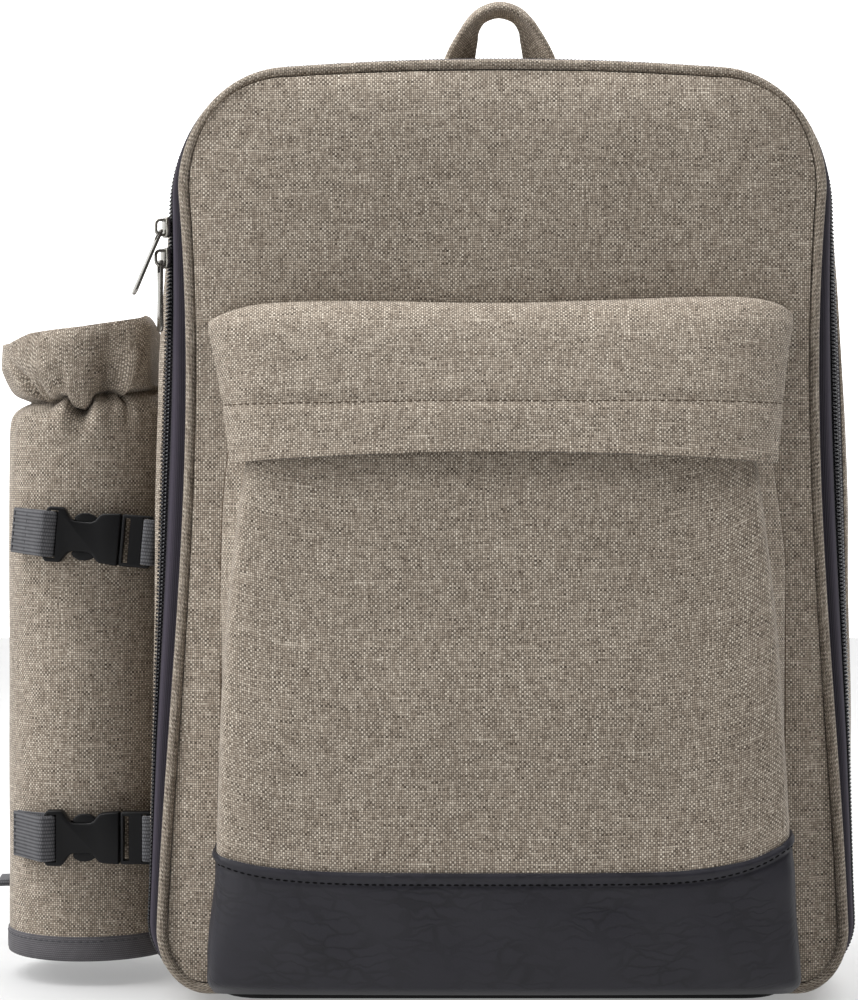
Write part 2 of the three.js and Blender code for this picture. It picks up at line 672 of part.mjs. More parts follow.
function makePouch() {
  const { x, y, columns, folds } = POUCH;
  const rows = POUCH_PROFILE.map((row) => Array.from({ length: columns }, (_, j) => {
    const angle = (j / columns) * Math.PI * 2;
    const r = row.r + row.fold * Math.cos(folds * angle);
    const z = row.z + POUCH_RIM_TILT * row.rim * Math.cos(angle);
    return new THREE.Vector3(x + r * Math.cos(angle), y + r * Math.sin(angle), z);
  }));
  addPart('bottle_pouch', wall(rows, POUCH.wall, true), CLOTH_LOOK);

  const inner = POUCH.radius + GAP;
  const outer = inner + BINDING.thick;
  const ring = [
    new THREE.Vector2(inner, BINDING.foot),
    new THREE.Vector2(outer, BINDING.foot + 0.4),
    new THREE.Vector2(outer, BINDING.top - 0.4),
    new THREE.Vector2(inner, BINDING.top),
    new THREE.Vector2(inner, BINDING.foot),
  ];
  const binding = new THREE.LatheGeometry(ring, columns);
  binding.rotateX(Math.PI / 2);
  binding.translate(x, y, 0);
  addPart('pouch_binding', binding, BINDING_LOOK);

  const radius = POUCH.radius - POUCH.wall - 2 * GAP;
  const disc = new THREE.CylinderGeometry(radius, radius, POUCH_BASE.thick, columns);
  disc.rotateX(Math.PI / 2);
  disc.translate(x, y, POUCH_BASE.foot + POUCH_BASE.thick / 2);
  addPart('pouch_base', disc, BINDING_LOOK);
}

function polygon(points) {
  return new THREE.Shape(points.map(([u, v]) => new THREE.Vector2(u, v)));
}

function rectangle(u0, u1, v0, v1) {
  return polygon([[u0, v0], [u1, v0], [u1, v1], [u0, v1]]);
}

// Plan shape given along the strap and up, raised towards the front from the depth y
function raised(shape, y, thick) {
  const geometry = new THREE.ExtrudeGeometry(shape, { depth: thick, bevelEnabled: false });
  geometry.rotateX(Math.PI / 2);
  geometry.translate(BUCKLE.x, y, 0);
  return geometry;
}

function makeStrap({ name, z, tilt }) {
  const place = (geometry) => {
    geometry.translate(-BUCKLE.x, 0, 0);
    geometry.rotateY(THREE.MathUtils.degToRad(tilt));
    geometry.translate(BUCKLE.x, 0, z);
    return geometry;
  };
  const middle = BUCKLE.back - BUCKLE.thick / 2;

  const above = SOCKET_EDGE.map(({ u, v }) => [u, v]);
  const below = SOCKET_EDGE.map(({ u, v }) => [u, -v]).reverse();
  const socketShape = polygon(above.concat(below));
  socketShape.holes.push(rectangle(SOCKET_SLOT.from, SOCKET_SLOT.to, -SOCKET_SLOT.half, SOCKET_SLOT.half));
  const cavityShape = rectangle(SOCKET_CAVITY.from, 12, -SOCKET_CAVITY.half, SOCKET_CAVITY.half);
  const cavity = raised(cavityShape, middle + SOCKET_CAVITY.thick / 2, SOCKET_CAVITY.thick);
  const socket = toSolid(raised(socketShape, BUCKLE.back, BUCKLE.thick)).subtract(toSolid(cavity));
  addPart(`buckle_socket_${name}`, place(fromSolid(socket)), PLASTIC_LOOK);

  const frameShape = rectangle(PLUG_FRAME.from, PLUG_FRAME.to, -PLUG_FRAME.half, PLUG_FRAME.half);
  for (const slot of PLUG_SLOTS) {
    frameShape.holes.push(rectangle(slot.from, slot.to, -slot.half, slot.half));
  }
  let plug = toSolid(raised(frameShape, BUCKLE.back - 0.4, BUCKLE.thick - 0.8));
  for (const turn of [1, -1]) {
    const outer = PLUG_PRONG.map((row) => [row.u, row.outer * turn]);
    const inner = PLUG_PRONG.map((row) => [row.u, row.inner * turn]).reverse();
    const prong = toSolid(raised(polygon(outer.concat(inner)), middle + 1.3, 2.6));
    plug = plug.add(prong);
  }
  addPart(`buckle_plug_${name}`, place(fromSolid(plug)), PLASTIC_LOOK);

  const onPouch = (degrees, radius) => {
    const angle = THREE.MathUtils.degToRad(degrees);
    return new THREE.Vector3(POUCH.x + radius * Math.sin(angle), POUCH.y - radius * Math.cos(angle), 0);
  };
  const slotX = BUCKLE.x + (SOCKET_SLOT.from + SOCKET_SLOT.to) / 2;
  const barX = BUCKLE.x + SOCKET_BAR;
  const front = BUCKLE.back - BUCKLE.thick;
  const slant = Math.sin(THREE.MathUtils.degToRad(tilt)) * STRAP.width / 2;
  const nearLayer = POUCH.radius + 0.5 + slant + STRAP.thick / 2;
  const farLayer = nearLayer + STRAP.thick + 0.5;
  const sewn = [
    ...[-48.5, -42, -36, -29, -22].map((degrees) => onPouch(degrees, nearLayer)),
    new THREE.Vector3(barX + 0.2, BUCKLE.back + 1.15, 0),
    new THREE.Vector3(slotX + 0.8, BUCKLE.back - 0.6, 0),
    new THREE.Vector3(slotX + 0.9, middle, 0),
    new THREE.Vector3(slotX + 0.7, front + 0.6, 0),
    new THREE.Vector3(barX + 0.3, front - 1.15, 0),
    new THREE.Vector3(barX - 2.4, front - 0.6, 0),
    onPouch(-33, farLayer + 2.8),
    onPouch(-41, farLayer + 0.8),
    onPouch(-48.5, farLayer),
  ];
  addPart(`strap_sewn_${name}`, place(band(sewn, STRAP.width, STRAP.thick, 44)), WEBBING_LOOK);

  const side = [
    new THREE.Vector3(BUCKLE.x + 19.1, middle - 1, 0),
    new THREE.Vector3(BUCKLE.x + 19.5, front - 0.6, 0),
    new THREE.Vector3(BUCKLE.x + 21.6, front - 1.15, 0),
    new THREE.Vector3(-151.5, front - 0.3, 0),
    new THREE.Vector3(-150.3, -34, 0),
    new THREE.Vector3(-149.2, -28, 0),
    new THREE.Vector3(-147.3 - slant, -20, 0),
    new THREE.Vector3(-146.1 - slant, -12, 0),
  ];
  addPart(`strap_side_${name}`, place(band(side, STRAP.width, STRAP.thick, 24)), WEBBING_LOOK);
}

// Half-width of the left side at one depth and height
function leftSideX(y, z, grow) {
  const run = arch(y, grow).filter((p) => p.x < -100);
  const k = Math.max(1, run.findIndex((p) => p.y > z));
  return blend(run[k - 1].x, run[k].x, (z - run[k - 1].y) / (run[k].y - run[k - 1].y));
}

// Outline with rounded corners, centred across and running down from its top
function tongue(width, top, foot, round) {
  const shape = new THREE.Shape();
  const half = width / 2;
  shape.moveTo(-half + round, top);
  shape.absarc(-half + round, top - round, round, Math.PI / 2, Math.PI, false);
  shape.lineTo(-half, foot + half);
  shape.absarc(0, foot + half, half, Math.PI, Math.PI * 2, false);
  shape.lineTo(half, top - round);
  shape.absarc(half - round, top - round, round, 0, Math.PI / 2, false);
  shape.closePath();
  return shape;
}

function makeSlider({ name, z, rest }) {
  // The slider stands square on the chain, which faces a little to the front
  const chainX = (y) => leftSideX(y, z, CHAIN_PROUD);
  const facing = Math.atan((chainX(ZIP_Y - 1.5) - chainX(ZIP_Y + 1.5)) / 3);
  const outFromChain = (distance) => [
    chainX(ZIP_Y) - distance * Math.cos(facing),
    ZIP_Y - distance * Math.sin(facing),
  ];
  const outwards = (geometry) => {
    const [x, y] = outFromChain(SLIDER.seat);
    geometry.rotateY(-Math.PI / 2);
    geometry.rotateZ(facing);
    geometry.translate(x, y, z);
    return geometry;
  };

  // Plan of the slider, up along X and across along Y, raised outwards
  const plateShape = polygon([
    [-SLIDER.half, -2.2],
    [-1.6, -SLIDER.width / 2],
    [SLIDER.half - 1, -SLIDER.width / 2],
    [SLIDER.half, -2.4],
    [SLIDER.half, 2.4],
    [SLIDER.half - 1, SLIDER.width / 2],
    [-1.6, SLIDER.width / 2],
    [-SLIDER.half, 2.2],
  ]);
  const plate = new THREE.ExtrudeGeometry(plateShape, { depth: SLIDER.plate, bevelEnabled: false });

  // Bail: an arch standing on the plate, up along X and outwards along Y before it is turned
  const bailTop = SLIDER.plate + BAIL.height;
  const bailFoot = SLIDER.plate - 0.6;
  const bailArch = (half, top, round) => {
    const shape = new THREE.Shape();
    shape.moveTo(-half, bailFoot);
    shape.lineTo(half, bailFoot);
    shape.lineTo(half, top - round);
    shape.absarc(half - round, top - round, round, 0, Math.PI / 2, false);
    shape.lineTo(-half + round, top);
    shape.absarc(-half + round, top - round, round, Math.PI / 2, Math.PI, false);
    shape.closePath();
    return shape;
  };
  const bailOptions = { depth: BAIL.width, bevelEnabled: false, curveSegments: 4 };
  const holeOptions = { depth: BAIL.width + 2, bevelEnabled: false, curveSegments: 4 };
  const bailOuter = new THREE.ExtrudeGeometry(bailArch(BAIL.half, bailTop, 1.6), bailOptions);
  const bailHole = bailArch(BAIL.half - BAIL.wire, bailTop - BAIL.wire, 0.6);
  const bailInner = new THREE.ExtrudeGeometry(bailHole, holeOptions);
  bailInner.translate(0, 0, -1);
  const bail = toSolid(bailOuter).subtract(toSolid(bailInner));
  const bailShape = fromSolid(bail);
  bailShape.translate(0, 0, -BAIL.width / 2);
  bailShape.rotateX(Math.PI / 2);
  const body = toSolid(plate).add(toSolid(bailShape));
  const slider = outwards(fromSolid(body));
  addPart(`zip_slider_${name}`, slider, NICKEL_LOOK);

  // Pull: an eye round the bail and a tongue hanging from it
  const pullShape = tongue(PULL.width, 0.75, -PULL.length, 1);
  pullShape.holes.push(rectangle(-PULL.eye, PULL.eye, -PULL.eyeEnd, -PULL.bar));
  const pullOptions = { depth: PULL.thick, bevelEnabled: false, curveSegments: 5 };
  const pull = new THREE.ExtrudeGeometry(pullShape, pullOptions);
  pull.translate(0, 0, -PULL.thick / 2);
  pull.rotateX(Math.PI / 2);
  pull.rotateZ(Math.PI / 2);
  pull.rotateY(THREE.MathUtils.degToRad(rest));
  pull.rotateZ(facing);
  const [pivotX, pivotY] = outFromChain(SLIDER.seat + SLIDER.plate + PULL.pivotUp);
  pull.translate(pivotX, pivotY, z - PULL.pivotDown);
  addPart(`zip_pull_${name}`, pull, NICKEL_LOOK);
}

function makeShoulderStraps() {
  for (const [name, turn] of [['left', -1], ['right', 1]]) {
    const flipped = (stations) => stations.map((s) => ({ ...s, x: s.x * turn }));
    const rows = PAD_STATIONS.map((s) => [-1, -0.5, 0.5, 1].map((k) => {
      const crown = 1.5 * (1 - k * k);
      return new THREE.Vector3(s.x * turn + k * s.half, s.y + crown, s.z);
    }));
    addPart(`shoulder_pad_${name}`, wall(rows, PAD_THICK), CLOTH_LOOK);
    const webbing = flipped(SHOULDER_WEBBING);
    addPart(`shoulder_webbing_${name}`, strip(webbing, WEBBING.half, WEBBING.thick), WEBBING_LOOK);
    addPart(`strap_tab_${name}`, strip(flipped(STRAP_TAB), WEBBING.half, WEBBING.thick), WEBBING_LOOK);

    const { width, height, thick, lean } = ADJUSTER;
    const frame = rectangle(-width / 2, width / 2, -height / 2, height / 2);
    for (const slot of ADJUSTER_SLOTS) {
      frame.holes.push(rectangle(-slot.half, slot.half, slot.low, slot.high));
    }
    const lock = new THREE.ExtrudeGeometry(frame, { depth: thick, bevelEnabled: false });
    lock.rotateX(Math.PI / 2);
    lock.rotateY(-THREE.MathUtils.degToRad(lean) * turn);
    lock.translate(ADJUSTER.x * turn, ADJUSTER.y, ADJUSTER.z);
    addPart(`strap_adjuster_${name}`, lock, PLASTIC_LOOK);
  }
  addPart('strap_tail_right', strip(TAIL_RIGHT, TAIL_HALF, WEBBING.thick), WEBBING_LOOK);
  const tailThick = TAIL_LEFT.map((s) => (s.x < -221 ? TAIL_HEM : WEBBING.thick));
  addPart('strap_tail_left', strip(TAIL_LEFT, TAIL_HALF, tailThick), WEBBING_LOOK);
}

makeBody();
makePocket();
makeLoop();
makePouch();
STRAP_LEVELS.forEach(makeStrap);
SLIDERS.forEach(makeSlider);
makeShoulderStraps();

export default bag;
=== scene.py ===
"""Looks of the picnic backpack: linen-look cloth, leather-look pocket base, zip, bottle pouch with
buckled straps, carry loop and shoulder straps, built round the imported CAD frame."""
import math

import bpy
import numpy as np
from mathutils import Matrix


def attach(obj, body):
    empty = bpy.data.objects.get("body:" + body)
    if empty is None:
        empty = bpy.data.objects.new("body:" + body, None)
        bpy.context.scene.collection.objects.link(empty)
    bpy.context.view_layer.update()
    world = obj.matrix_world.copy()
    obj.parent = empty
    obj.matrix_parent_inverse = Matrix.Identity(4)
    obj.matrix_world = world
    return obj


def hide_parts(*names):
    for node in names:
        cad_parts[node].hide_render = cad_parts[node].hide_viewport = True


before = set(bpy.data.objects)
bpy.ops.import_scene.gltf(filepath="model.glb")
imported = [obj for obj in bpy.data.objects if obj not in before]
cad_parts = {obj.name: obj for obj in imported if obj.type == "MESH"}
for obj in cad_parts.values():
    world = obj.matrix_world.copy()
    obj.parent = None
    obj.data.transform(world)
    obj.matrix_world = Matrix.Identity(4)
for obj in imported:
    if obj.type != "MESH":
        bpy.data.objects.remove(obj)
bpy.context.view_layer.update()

MM = 0.001

# Shape of the bag in millimetres, close to the CAD model
FRONT_Y, BACK_Y, FOOT_Z = -65.0, 60.0, 4.0
PIPING_RADIUS, CORD_RADIUS = 2.6, 2.3
# The foot's rounded corners, and the rise of the top edge to its middle
FOOT_WIDE, FOOT_TALL, CROWN_RISE = 22, 27, 3.2
# How strongly the points along a panel's edges are drawn towards its corners
EDGE_CLOSER = 0.115
# Front and back: half-width, height of the middle, reach from there to the top, and the front's fullness
PANEL_HALF, PANEL_MIDDLE, PANEL_REACH, PANEL_BULGE = 137, 202, 198, 10
# Where the flap's seam draws the front in, how deep and over what height
FLAP_SEAM_Z, FLAP_DRAW, FLAP_DRAW_SPAN = 288, 3.2, 45
# Gap between sewn pieces, and the height below which the pocket sits on the piping
SEAM_GAP, ON_PIPING_Z = 0.4, 13
# Back panel: thickness of the pad, its two upright seams, and its border's distance from the edge
BACK_THICK, BACK_SEAM_X, BACK_BORDER = 6, 42, 15
BASE_HALF, BASE_FRONT, BASE_BACK, BASE_CORNER = 121, -57, 56, 18
ZIP_Y, TOOTH_PITCH = -48.0, 1.65
DEPTH_TABLE = np.array([
    # y, foot, waist, shoulder, top, press, shoulder corner
    (-65, 147, 128, 137.8, 401, 200, 47),
    (-58, 150, 135, 139.9, 402, 200, 50),
    (-50, 152.2, 140.5, 141.2, 403, 200, 54),
    (-45.5, 153, 147.6, 142.8, 403.5, 200, 57),
    (-40, 153.6, 153, 143.8, 404, 150.5, 60),
    (-34, 154.8, 156.5, 144, 404, 148, 60),
    (-8, 155.5, 155.5, 143.5, 404, 144.3, 60),
    (8, 154.5, 152, 143, 403.5, 143.3, 60),
    (25, 152, 147, 142, 403, 145, 60),
    (60, 147, 139, 138, 400, 146, 60),
])
POCKET_TABLE = np.array([
    # z, half-widths of the face to the right and to the left, y of the face
    (5, 121.5, 121.5, -101), (14, 123.5, 123.5, -107.5), (32, 122, 122, -110), (60, 119, 119.5, -110),
    (120, 116, 118, -107.4), (172, 112.5, 115, -103.2), (220, 106.5, 109, -99.8), (262, 101, 102.5, -94),
])
POCKET_PROFILE = np.array([
    # share across, share out
    (1, 0.28), (0.998, 0.53), (0.978, 0.735), (0.93, 0.83),
    (0.81, 0.912), (0.6, 0.98), (0.3, 1.02), (0, 1.035),
])
FLAP_TABLE = np.array([
    # z, y, half-width, set back towards the ends, turned back at the very ends
    (229, -103.2, 113.5, 6, 9), (246, -100.2, 116, 8, 8), (268, -95.4, 119, 11, 6),
    (284, -90.6, 121.5, 11, 5), (293, -84.6, 122, 8, 6), (296.5, -78.6, 121, 4.5, 4.8),
    (295.5, -74.5, 119.5, 2, 3.6), (291, -72.6, 118, 0, 0),
])
# How sharply the flap's ends turn back, row by row
FLAP_END_POWERS = (13, 17, 26, 36, 36, 36, 36, 36)
FLAP_COLUMNS = np.array([-1, -0.98, -0.94, -0.86, -0.74, -0.5, -0.25, 0,
                         0.25, 0.5, 0.74, 0.86, 0.94, 0.98, 1])
LOOP_Y = -22.0
LOOP_TABLE = np.array([
    # x, z, turn of the band
    (20.1, 404.6, 49), (18.2, 411.5, 57), (15.6, 418.8, 69),
    (12.8, 425.0, 80), (7.9, 430.0, 88), (0, 432.3, 90),
])
POCKET_TOP_Z, LEATHER_SEAM_Z, LEATHER_HALF, LEATHER_OVERLAP = 262, 61, 119, 1.6
# Pouch: axis, radius over its binding, radius of its cloth, lower edge, and heights below and in the collar
POUCH_X, POUCH_Y, POUCH_RADIUS = -184.0, 8.0, 38.6
POUCH_SKIN, POUCH_LOW, POUCH_PLAIN, POUCH_COLLAR = 37.7, 11, 225, 65
BINDING_STITCH_R, BINDING_STITCH_Z = 38.45, 19.4
BUCKLE_X, BUCKLE_BACK, BUCKLE_THICK = -175.0, -31.7, 6.5
BUCKLE_MIDDLE, BUCKLE_FRONT = BUCKLE_BACK - BUCKLE_THICK / 2, BUCKLE_BACK - BUCKLE_THICK
STRAP_HALF, SHOULDER_HALF, WEBBING_THICK = 10.0, 12.5, 1.6
# Height and tilt of the pouch straps; height of the sliders and the degrees their pulls hang out at rest
STRAP_LEVELS = {"upper": (197.0, 5.0), "lower": (66.0, 0.0)}
SLIDER_LEVELS = {"upper": (331.3, 23.5), "lower": (318.0, 0.0)}


# Shape functions

def smooth_through(points, rows, columns):
    """Finer grid on smooth curves through a grid of control points."""
    def along(grid, count):
        last = grid.shape[0] - 1
        place = np.linspace(0, last, count)
        k = np.minimum(place.astype(int), last - 1)
        f = (place - k).reshape(-1, 1, 1)
        before, a, b, after = (grid[np.clip(k + i, 0, last)] for i in (-1, 0, 1, 2))
        return 0.5 * (2 * a + (b - before) * f + (2 * before - 5 * a + 4 * b - after) * f ** 2
                      + (3 * a - before - 3 * b + after) * f ** 3)
    finer = along(points, rows)
    return along(finer.transpose(1, 0, 2), columns).transpose(1, 0, 2)


def smooth_run(stations, count):
    """Finer run on a smooth curve through stations."""
    return smooth_through(stations[:, None, :].repeat(2, axis=1), count, 2)[:, 0]


def run_lengths(points):
    """Length along a run from its start to each point."""
    return np.concatenate([[0], np.cumsum(np.linalg.norm(np.diff(points, axis=0), axis=1))])


def at_lengths(place, lengths, values):
    """Values along a run, read at other lengths."""
    return np.stack([np.interp(place, lengths, column) for column in values.T], axis=1)


def unit(vectors):
    """Vectors of length 1."""
    return vectors / np.maximum(np.linalg.norm(vectors, axis=-1, keepdims=True), 1e-9)


def square_to(vectors, along):
    """Unit vectors square to a direction."""
    return unit(vectors - np.sum(vectors * along, axis=-1, keepdims=True) * along)


def from_table(table, value, column):
    """One column of a table, read between its rows by its first column."""
    return np.interp(value, table[:, 0], table[:, column])


def at_depth(run, y):
    """Run of (x, z) points at one depth, as (x, y, z) points."""
    return np.stack([run[:, 0], np.full(len(run), float(y)), run[:, 1]], axis=1)


def evenly(points, count, closer=0.0):
    """Points at even lengths along a run; closer draws them towards its two ends."""
    length = run_lengths(points)
    t = np.linspace(0, 1, count)
    t = t - closer * np.sin(2 * np.pi * t)
    return at_lengths(t * length[-1], length, points)


def half_outline(y):
    """Right half of the body's outline at one depth, bottom middle to top middle, with its five runs."""
    foot, waist, shoulder, top, wide = (from_table(DEPTH_TABLE, y, k) for k in (1, 2, 3, 4, 6))
    tall = wide + 5
    foot_x, foot_z = foot - FOOT_WIDE, FOOT_Z + FOOT_TALL
    shoulder_x, shoulder_z = shoulder - wide, top - CROWN_RISE - tall
    t = np.linspace(0, 1, 40)[:, None]
    line = np.array([(0, FOOT_Z)]) * (1 - t) + np.array([(foot_x, FOOT_Z)]) * t
    turn = (t - 1) * np.pi / 2
    corner = np.hstack([foot_x + FOOT_WIDE * np.cos(turn), foot_z + FOOT_TALL * np.sin(turn)])
    poles = [np.array(p) for p in ((foot, foot_z), (foot - 4, 130), (waist, 235), (shoulder, shoulder_z))]
    side = ((1 - t) ** 3 * poles[0] + 3 * (1 - t) ** 2 * t * poles[1]
            + 3 * (1 - t) * t ** 2 * poles[2] + t ** 3 * poles[3])
    turn = t * np.pi / 2
    bend = np.hstack([shoulder_x + wide * np.cos(turn), shoulder_z + tall * np.sin(turn)])
    poles = [np.array(p) for p in ((shoulder_x, top - CROWN_RISE), (shoulder_x / 2, top), (0, top))]
    crown = (1 - t) ** 2 * poles[0] + 2 * (1 - t) * t * poles[1] + t ** 2 * poles[2]
    return [line, corner, side, bend, crown]


def moved_out(points, distance):
    """Run of (x, z) points moved along its normals, to its left seen along the run."""
    along = unit(np.gradient(points, axis=0))
    return points + distance * np.stack([-along[:, 1], along[:, 0]], axis=1)


def joined(runs):
    return np.vstack([run if i == 0 else run[1:] for i, run in enumerate(runs)])


def mirrored(points):
    return points[::-1] * np.array([-1, 1])


def pressed(points, y):
    """Left side held in where the pouch sits against it."""
    press = from_table(DEPTH_TABLE, y, 5)
    return np.stack([np.maximum(points[:, 0], -press), points[:, 1]], axis=1)


def arch(y, count, grow=0.0):
    """Left foot corner over the top to the right foot corner at one depth, as (x, y, z) points."""
    right = joined(half_outline(y)[2:])
    run = joined([mirrored(right)[::-1], right[::-1]])
    return at_depth(pressed(moved_out(evenly(run, count), grow), y), y)


def zip_arch(y, count, grow=0.0):
    """Arch of the zip, which runs on round the foot corners and in behind the piping there."""
    _, corner, side, bend, crown = half_outline(y)
    right = joined([corner[13:], side, bend, crown])
    run = evenly(joined([mirrored(right)[::-1], right[::-1]]), count)
    z = run[:, 1]
    tuck = 0.8 * np.clip((110 - z) / 60, 0, 1) + 2.2 * np.clip((34 - z) / 20, 0, 1) ** 1.5
    return at_depth(pressed(moved_out(run, (grow - tuck)[:, None]), y), y)


def to_the_right(count):
    """0 along the left half of an arch and 1 along its right half, with a soft change at the top."""
    return np.clip((np.linspace(0, 1, count) - 0.44) / 0.12, 0, 1)


def foot_run(y, count, grow=0.0):
    """Left foot corner along the bottom to the right foot corner at one depth, drawn in under the zip."""
    right = joined(half_outline(y)[:2])
    run = evenly(joined([mirrored(right), right]), count)
    under = 3.2 * np.clip((-36 - y) / 4, 0, 1) * np.clip((run[:, 1] - 5) / 6, 0, 1)
    return at_depth(pressed(moved_out(run, (under - grow)[:, None]), y), y)


def filled_outline(y, inset, rows, columns):
    """Grid of (x, z) points that fills the outline at one depth, rows upwards, with each point's
    distance from the edge."""
    line, corner, side, bend, crown = half_outline(y)
    run = moved_out(joined([line, corner, side, bend, crown]), inset)
    run[0, 0] = run[-1, 0] = 0
    low = len(line) + len(corner) // 2 - 1
    high = len(line) + len(corner) + len(side) + len(bend) // 2 - 3
    bottom = evenly(joined([mirrored(run[:low + 1]), run[:low + 1]]), columns, EDGE_CLOSER)
    right = evenly(run[low:high + 1], rows, EDGE_CLOSER)
    top_half = run[high:][::-1]
    top = evenly(joined([mirrored(top_half), top_half]), columns, EDGE_CLOSER)
    left = right * np.array([-1, 1])
    u = np.linspace(0, 1, columns)[None, :, None]
    v = np.linspace(0, 1, rows)[:, None, None]
    low_high = bottom[None] * (1 - v) + top[None] * v
    left_right = left[:, None] * (1 - u) + right[:, None] * u
    corners = ((bottom[0] * (1 - u) + bottom[-1] * u) * (1 - v) + (top[0] * (1 - u) + top[-1] * u) * v)
    grid = low_high + left_right - corners
    width = np.abs(grid[:, -1:, 0] - grid[:, :1, 0])
    height = grid[-1:, :, 1] - grid[:1, :, 1]
    edge = np.minimum(np.minimum(u, 1 - u)[..., 0] * width, np.minimum(v, 1 - v)[..., 0] * height)
    return grid, edge


def swell(x, z, across=4, up=4):
    """Share of a panel's fullness: 1 in its middle and 0 along its edges."""
    upwards = (z - PANEL_MIDDLE) / PANEL_REACH
    return np.maximum(0, 1 - (x / PANEL_HALF) ** across) * np.maximum(0, 1 - upwards ** up)


def panel_y(x, z):
    """Face of the front panel: flat with soft rolled edges, and drawn in where the flap is sewn to it."""
    above = np.maximum(z - FLAP_SEAM_Z, 0) / FLAP_DRAW_SPAN
    under = np.maximum(FLAP_SEAM_Z - z, 0) / FLAP_DRAW_SPAN
    drawn = FLAP_DRAW * np.exp(-above) * np.exp(-under ** 2) * np.maximum(0, 1 - (x / PANEL_HALF) ** 4)
    return FRONT_Y - PANEL_BULGE * swell(x, z, 6, 12) + drawn


def seat_y(x, z):
    """Where a pocket piece meets the front panel, or the piping below it."""
    on_panel = panel_y(x, z) - SEAM_GAP
    return np.where(z < ON_PIPING_Z, np.minimum(on_panel, FRONT_Y - PIPING_RADIUS - SEAM_GAP), on_panel)


def soft_noise(x, z, span, seed):
    """Slow undulation between about -1 and 1, with swells of about the given span."""
    rng = np.random.default_rng(seed)
    total = np.zeros(np.broadcast(x, z).shape)
    for _ in range(9):
        turn = rng.uniform(0, 2 * np.pi)
        wave = 2 * np.pi / (span * rng.uniform(0.7, 1.6))
        total += np.sin(wave * (np.cos(turn) * x + np.sin(turn) * z) + rng.uniform(0, 2 * np.pi))
    return total / 4.5


def grid_normals(points):
    return unit(np.cross(np.gradient(points, axis=1), np.gradient(points, axis=0)))


def hump(value, centre, spread):
    return np.exp(-((value - centre) / spread) ** 2)


# Modelling helpers

def named(name):
    piece = bpy.context.object
    piece.name = name
    piece.data.name = name
    return piece


def only(piece):
    bpy.ops.object.select_all(action="DESELECT")
    piece.select_set(True)
    bpy.context.view_layer.objects.active = piece


def finish_with(piece, kind, **settings):
    """Adds a modifier and applies it."""
    only(piece)
    modifier = piece.modifiers.new(kind.title(), kind)
    for key, value in settings.items():
        setattr(modifier, key, value)
    bpy.ops.object.modifier_apply(modifier=modifier.name)


def face_outwards():
    """Turns the faces of the active piece outwards."""
    bpy.ops.object.mode_set(mode="EDIT")
    bpy.ops.mesh.select_all(action="SELECT")
    bpy.ops.mesh.normals_make_consistent(inside=False)
    bpy.ops.object.mode_set(mode="OBJECT")


def round_edges(piece, width, segments, degrees):
    """Rounds the edges that turn by more than some degrees, by a width in millimetres."""
    finish_with(piece, "BEVEL", width=width * MM, segments=segments, limit_method="ANGLE",
                angle_limit=math.radians(degrees))


def smooth_shade(piece, degrees=40):
    only(piece)
    bpy.ops.object.shade_smooth_by_angle(angle=math.radians(degrees))


def cloth_lengths(points):
    """Lengths along the cloth from its middle column and its lowest row, for the weave."""
    across = np.zeros(points.shape[:2])
    across[:, 1:] = np.cumsum(np.linalg.norm(np.diff(points, axis=1), axis=2), axis=1)
    across -= across[:, [points.shape[1] // 2]]
    up = np.zeros(points.shape[:2])
    up[1:] = np.cumsum(np.linalg.norm(np.diff(points, axis=0), axis=2), axis=0)
    return np.stack([across, up], axis=2)


def cloth_piece(name, points, thick=0.0, weld=False, weave=None, rim=0.0, even=True):
    """Sheet on a grid of points, rows by columns. Seen from outside its columns run to the right and
    its rows run up. A thick sheet grows inwards; a welded one closes on itself."""
    rows, columns = points.shape[:2]
    bpy.ops.object.select_all(action="DESELECT")
    bpy.ops.mesh.primitive_grid_add(x_subdivisions=columns - 1, y_subdivisions=rows - 1, size=1)
    piece = named(name)
    mesh = piece.data
    flat = np.empty(len(mesh.vertices) * 3)
    mesh.vertices.foreach_get("co", flat)
    flat = flat.reshape(-1, 3)
    column = np.rint((flat[:, 0] + 0.5) * (columns - 1)).astype(int)
    row = np.rint((flat[:, 1] + 0.5) * (rows - 1)).astype(int)
    mesh.vertices.foreach_set("co", (points[row, column] * MM).ravel())
    lengths = cloth_lengths(points) if weave is None else weave
    corner = np.empty(len(mesh.loops), dtype=np.int32)
    mesh.loops.foreach_get("vertex_index", corner)
    mesh.uv_layers.active.data.foreach_set("uv", (lengths[row, column][corner] * MM).ravel())
    mesh.update()
    if weld:
        bpy.ops.object.mode_set(mode="EDIT")
        bpy.ops.mesh.select_all(action="SELECT")
        bpy.ops.mesh.remove_doubles(threshold=2e-6)
        bpy.ops.object.mode_set(mode="OBJECT")
    if thick:
        finish_with(piece, "SOLIDIFY", thickness=thick * MM, offset=-1, use_even_offset=even)
    if rim:
        round_edges(piece, rim, 2, 60)
    smooth_shade(piece, 50)
    return piece


def frames_along(path, across, closed=False):
    """Directions across a path and out of its face, at each point."""
    tangent = np.gradient(path, axis=0)
    if closed:
        tangent[0] = tangent[-1] = path[1] - path[-2]
    tangent = unit(tangent)
    side = square_to(np.broadcast_to(across, path.shape), tangent)
    return side, np.cross(side, tangent)


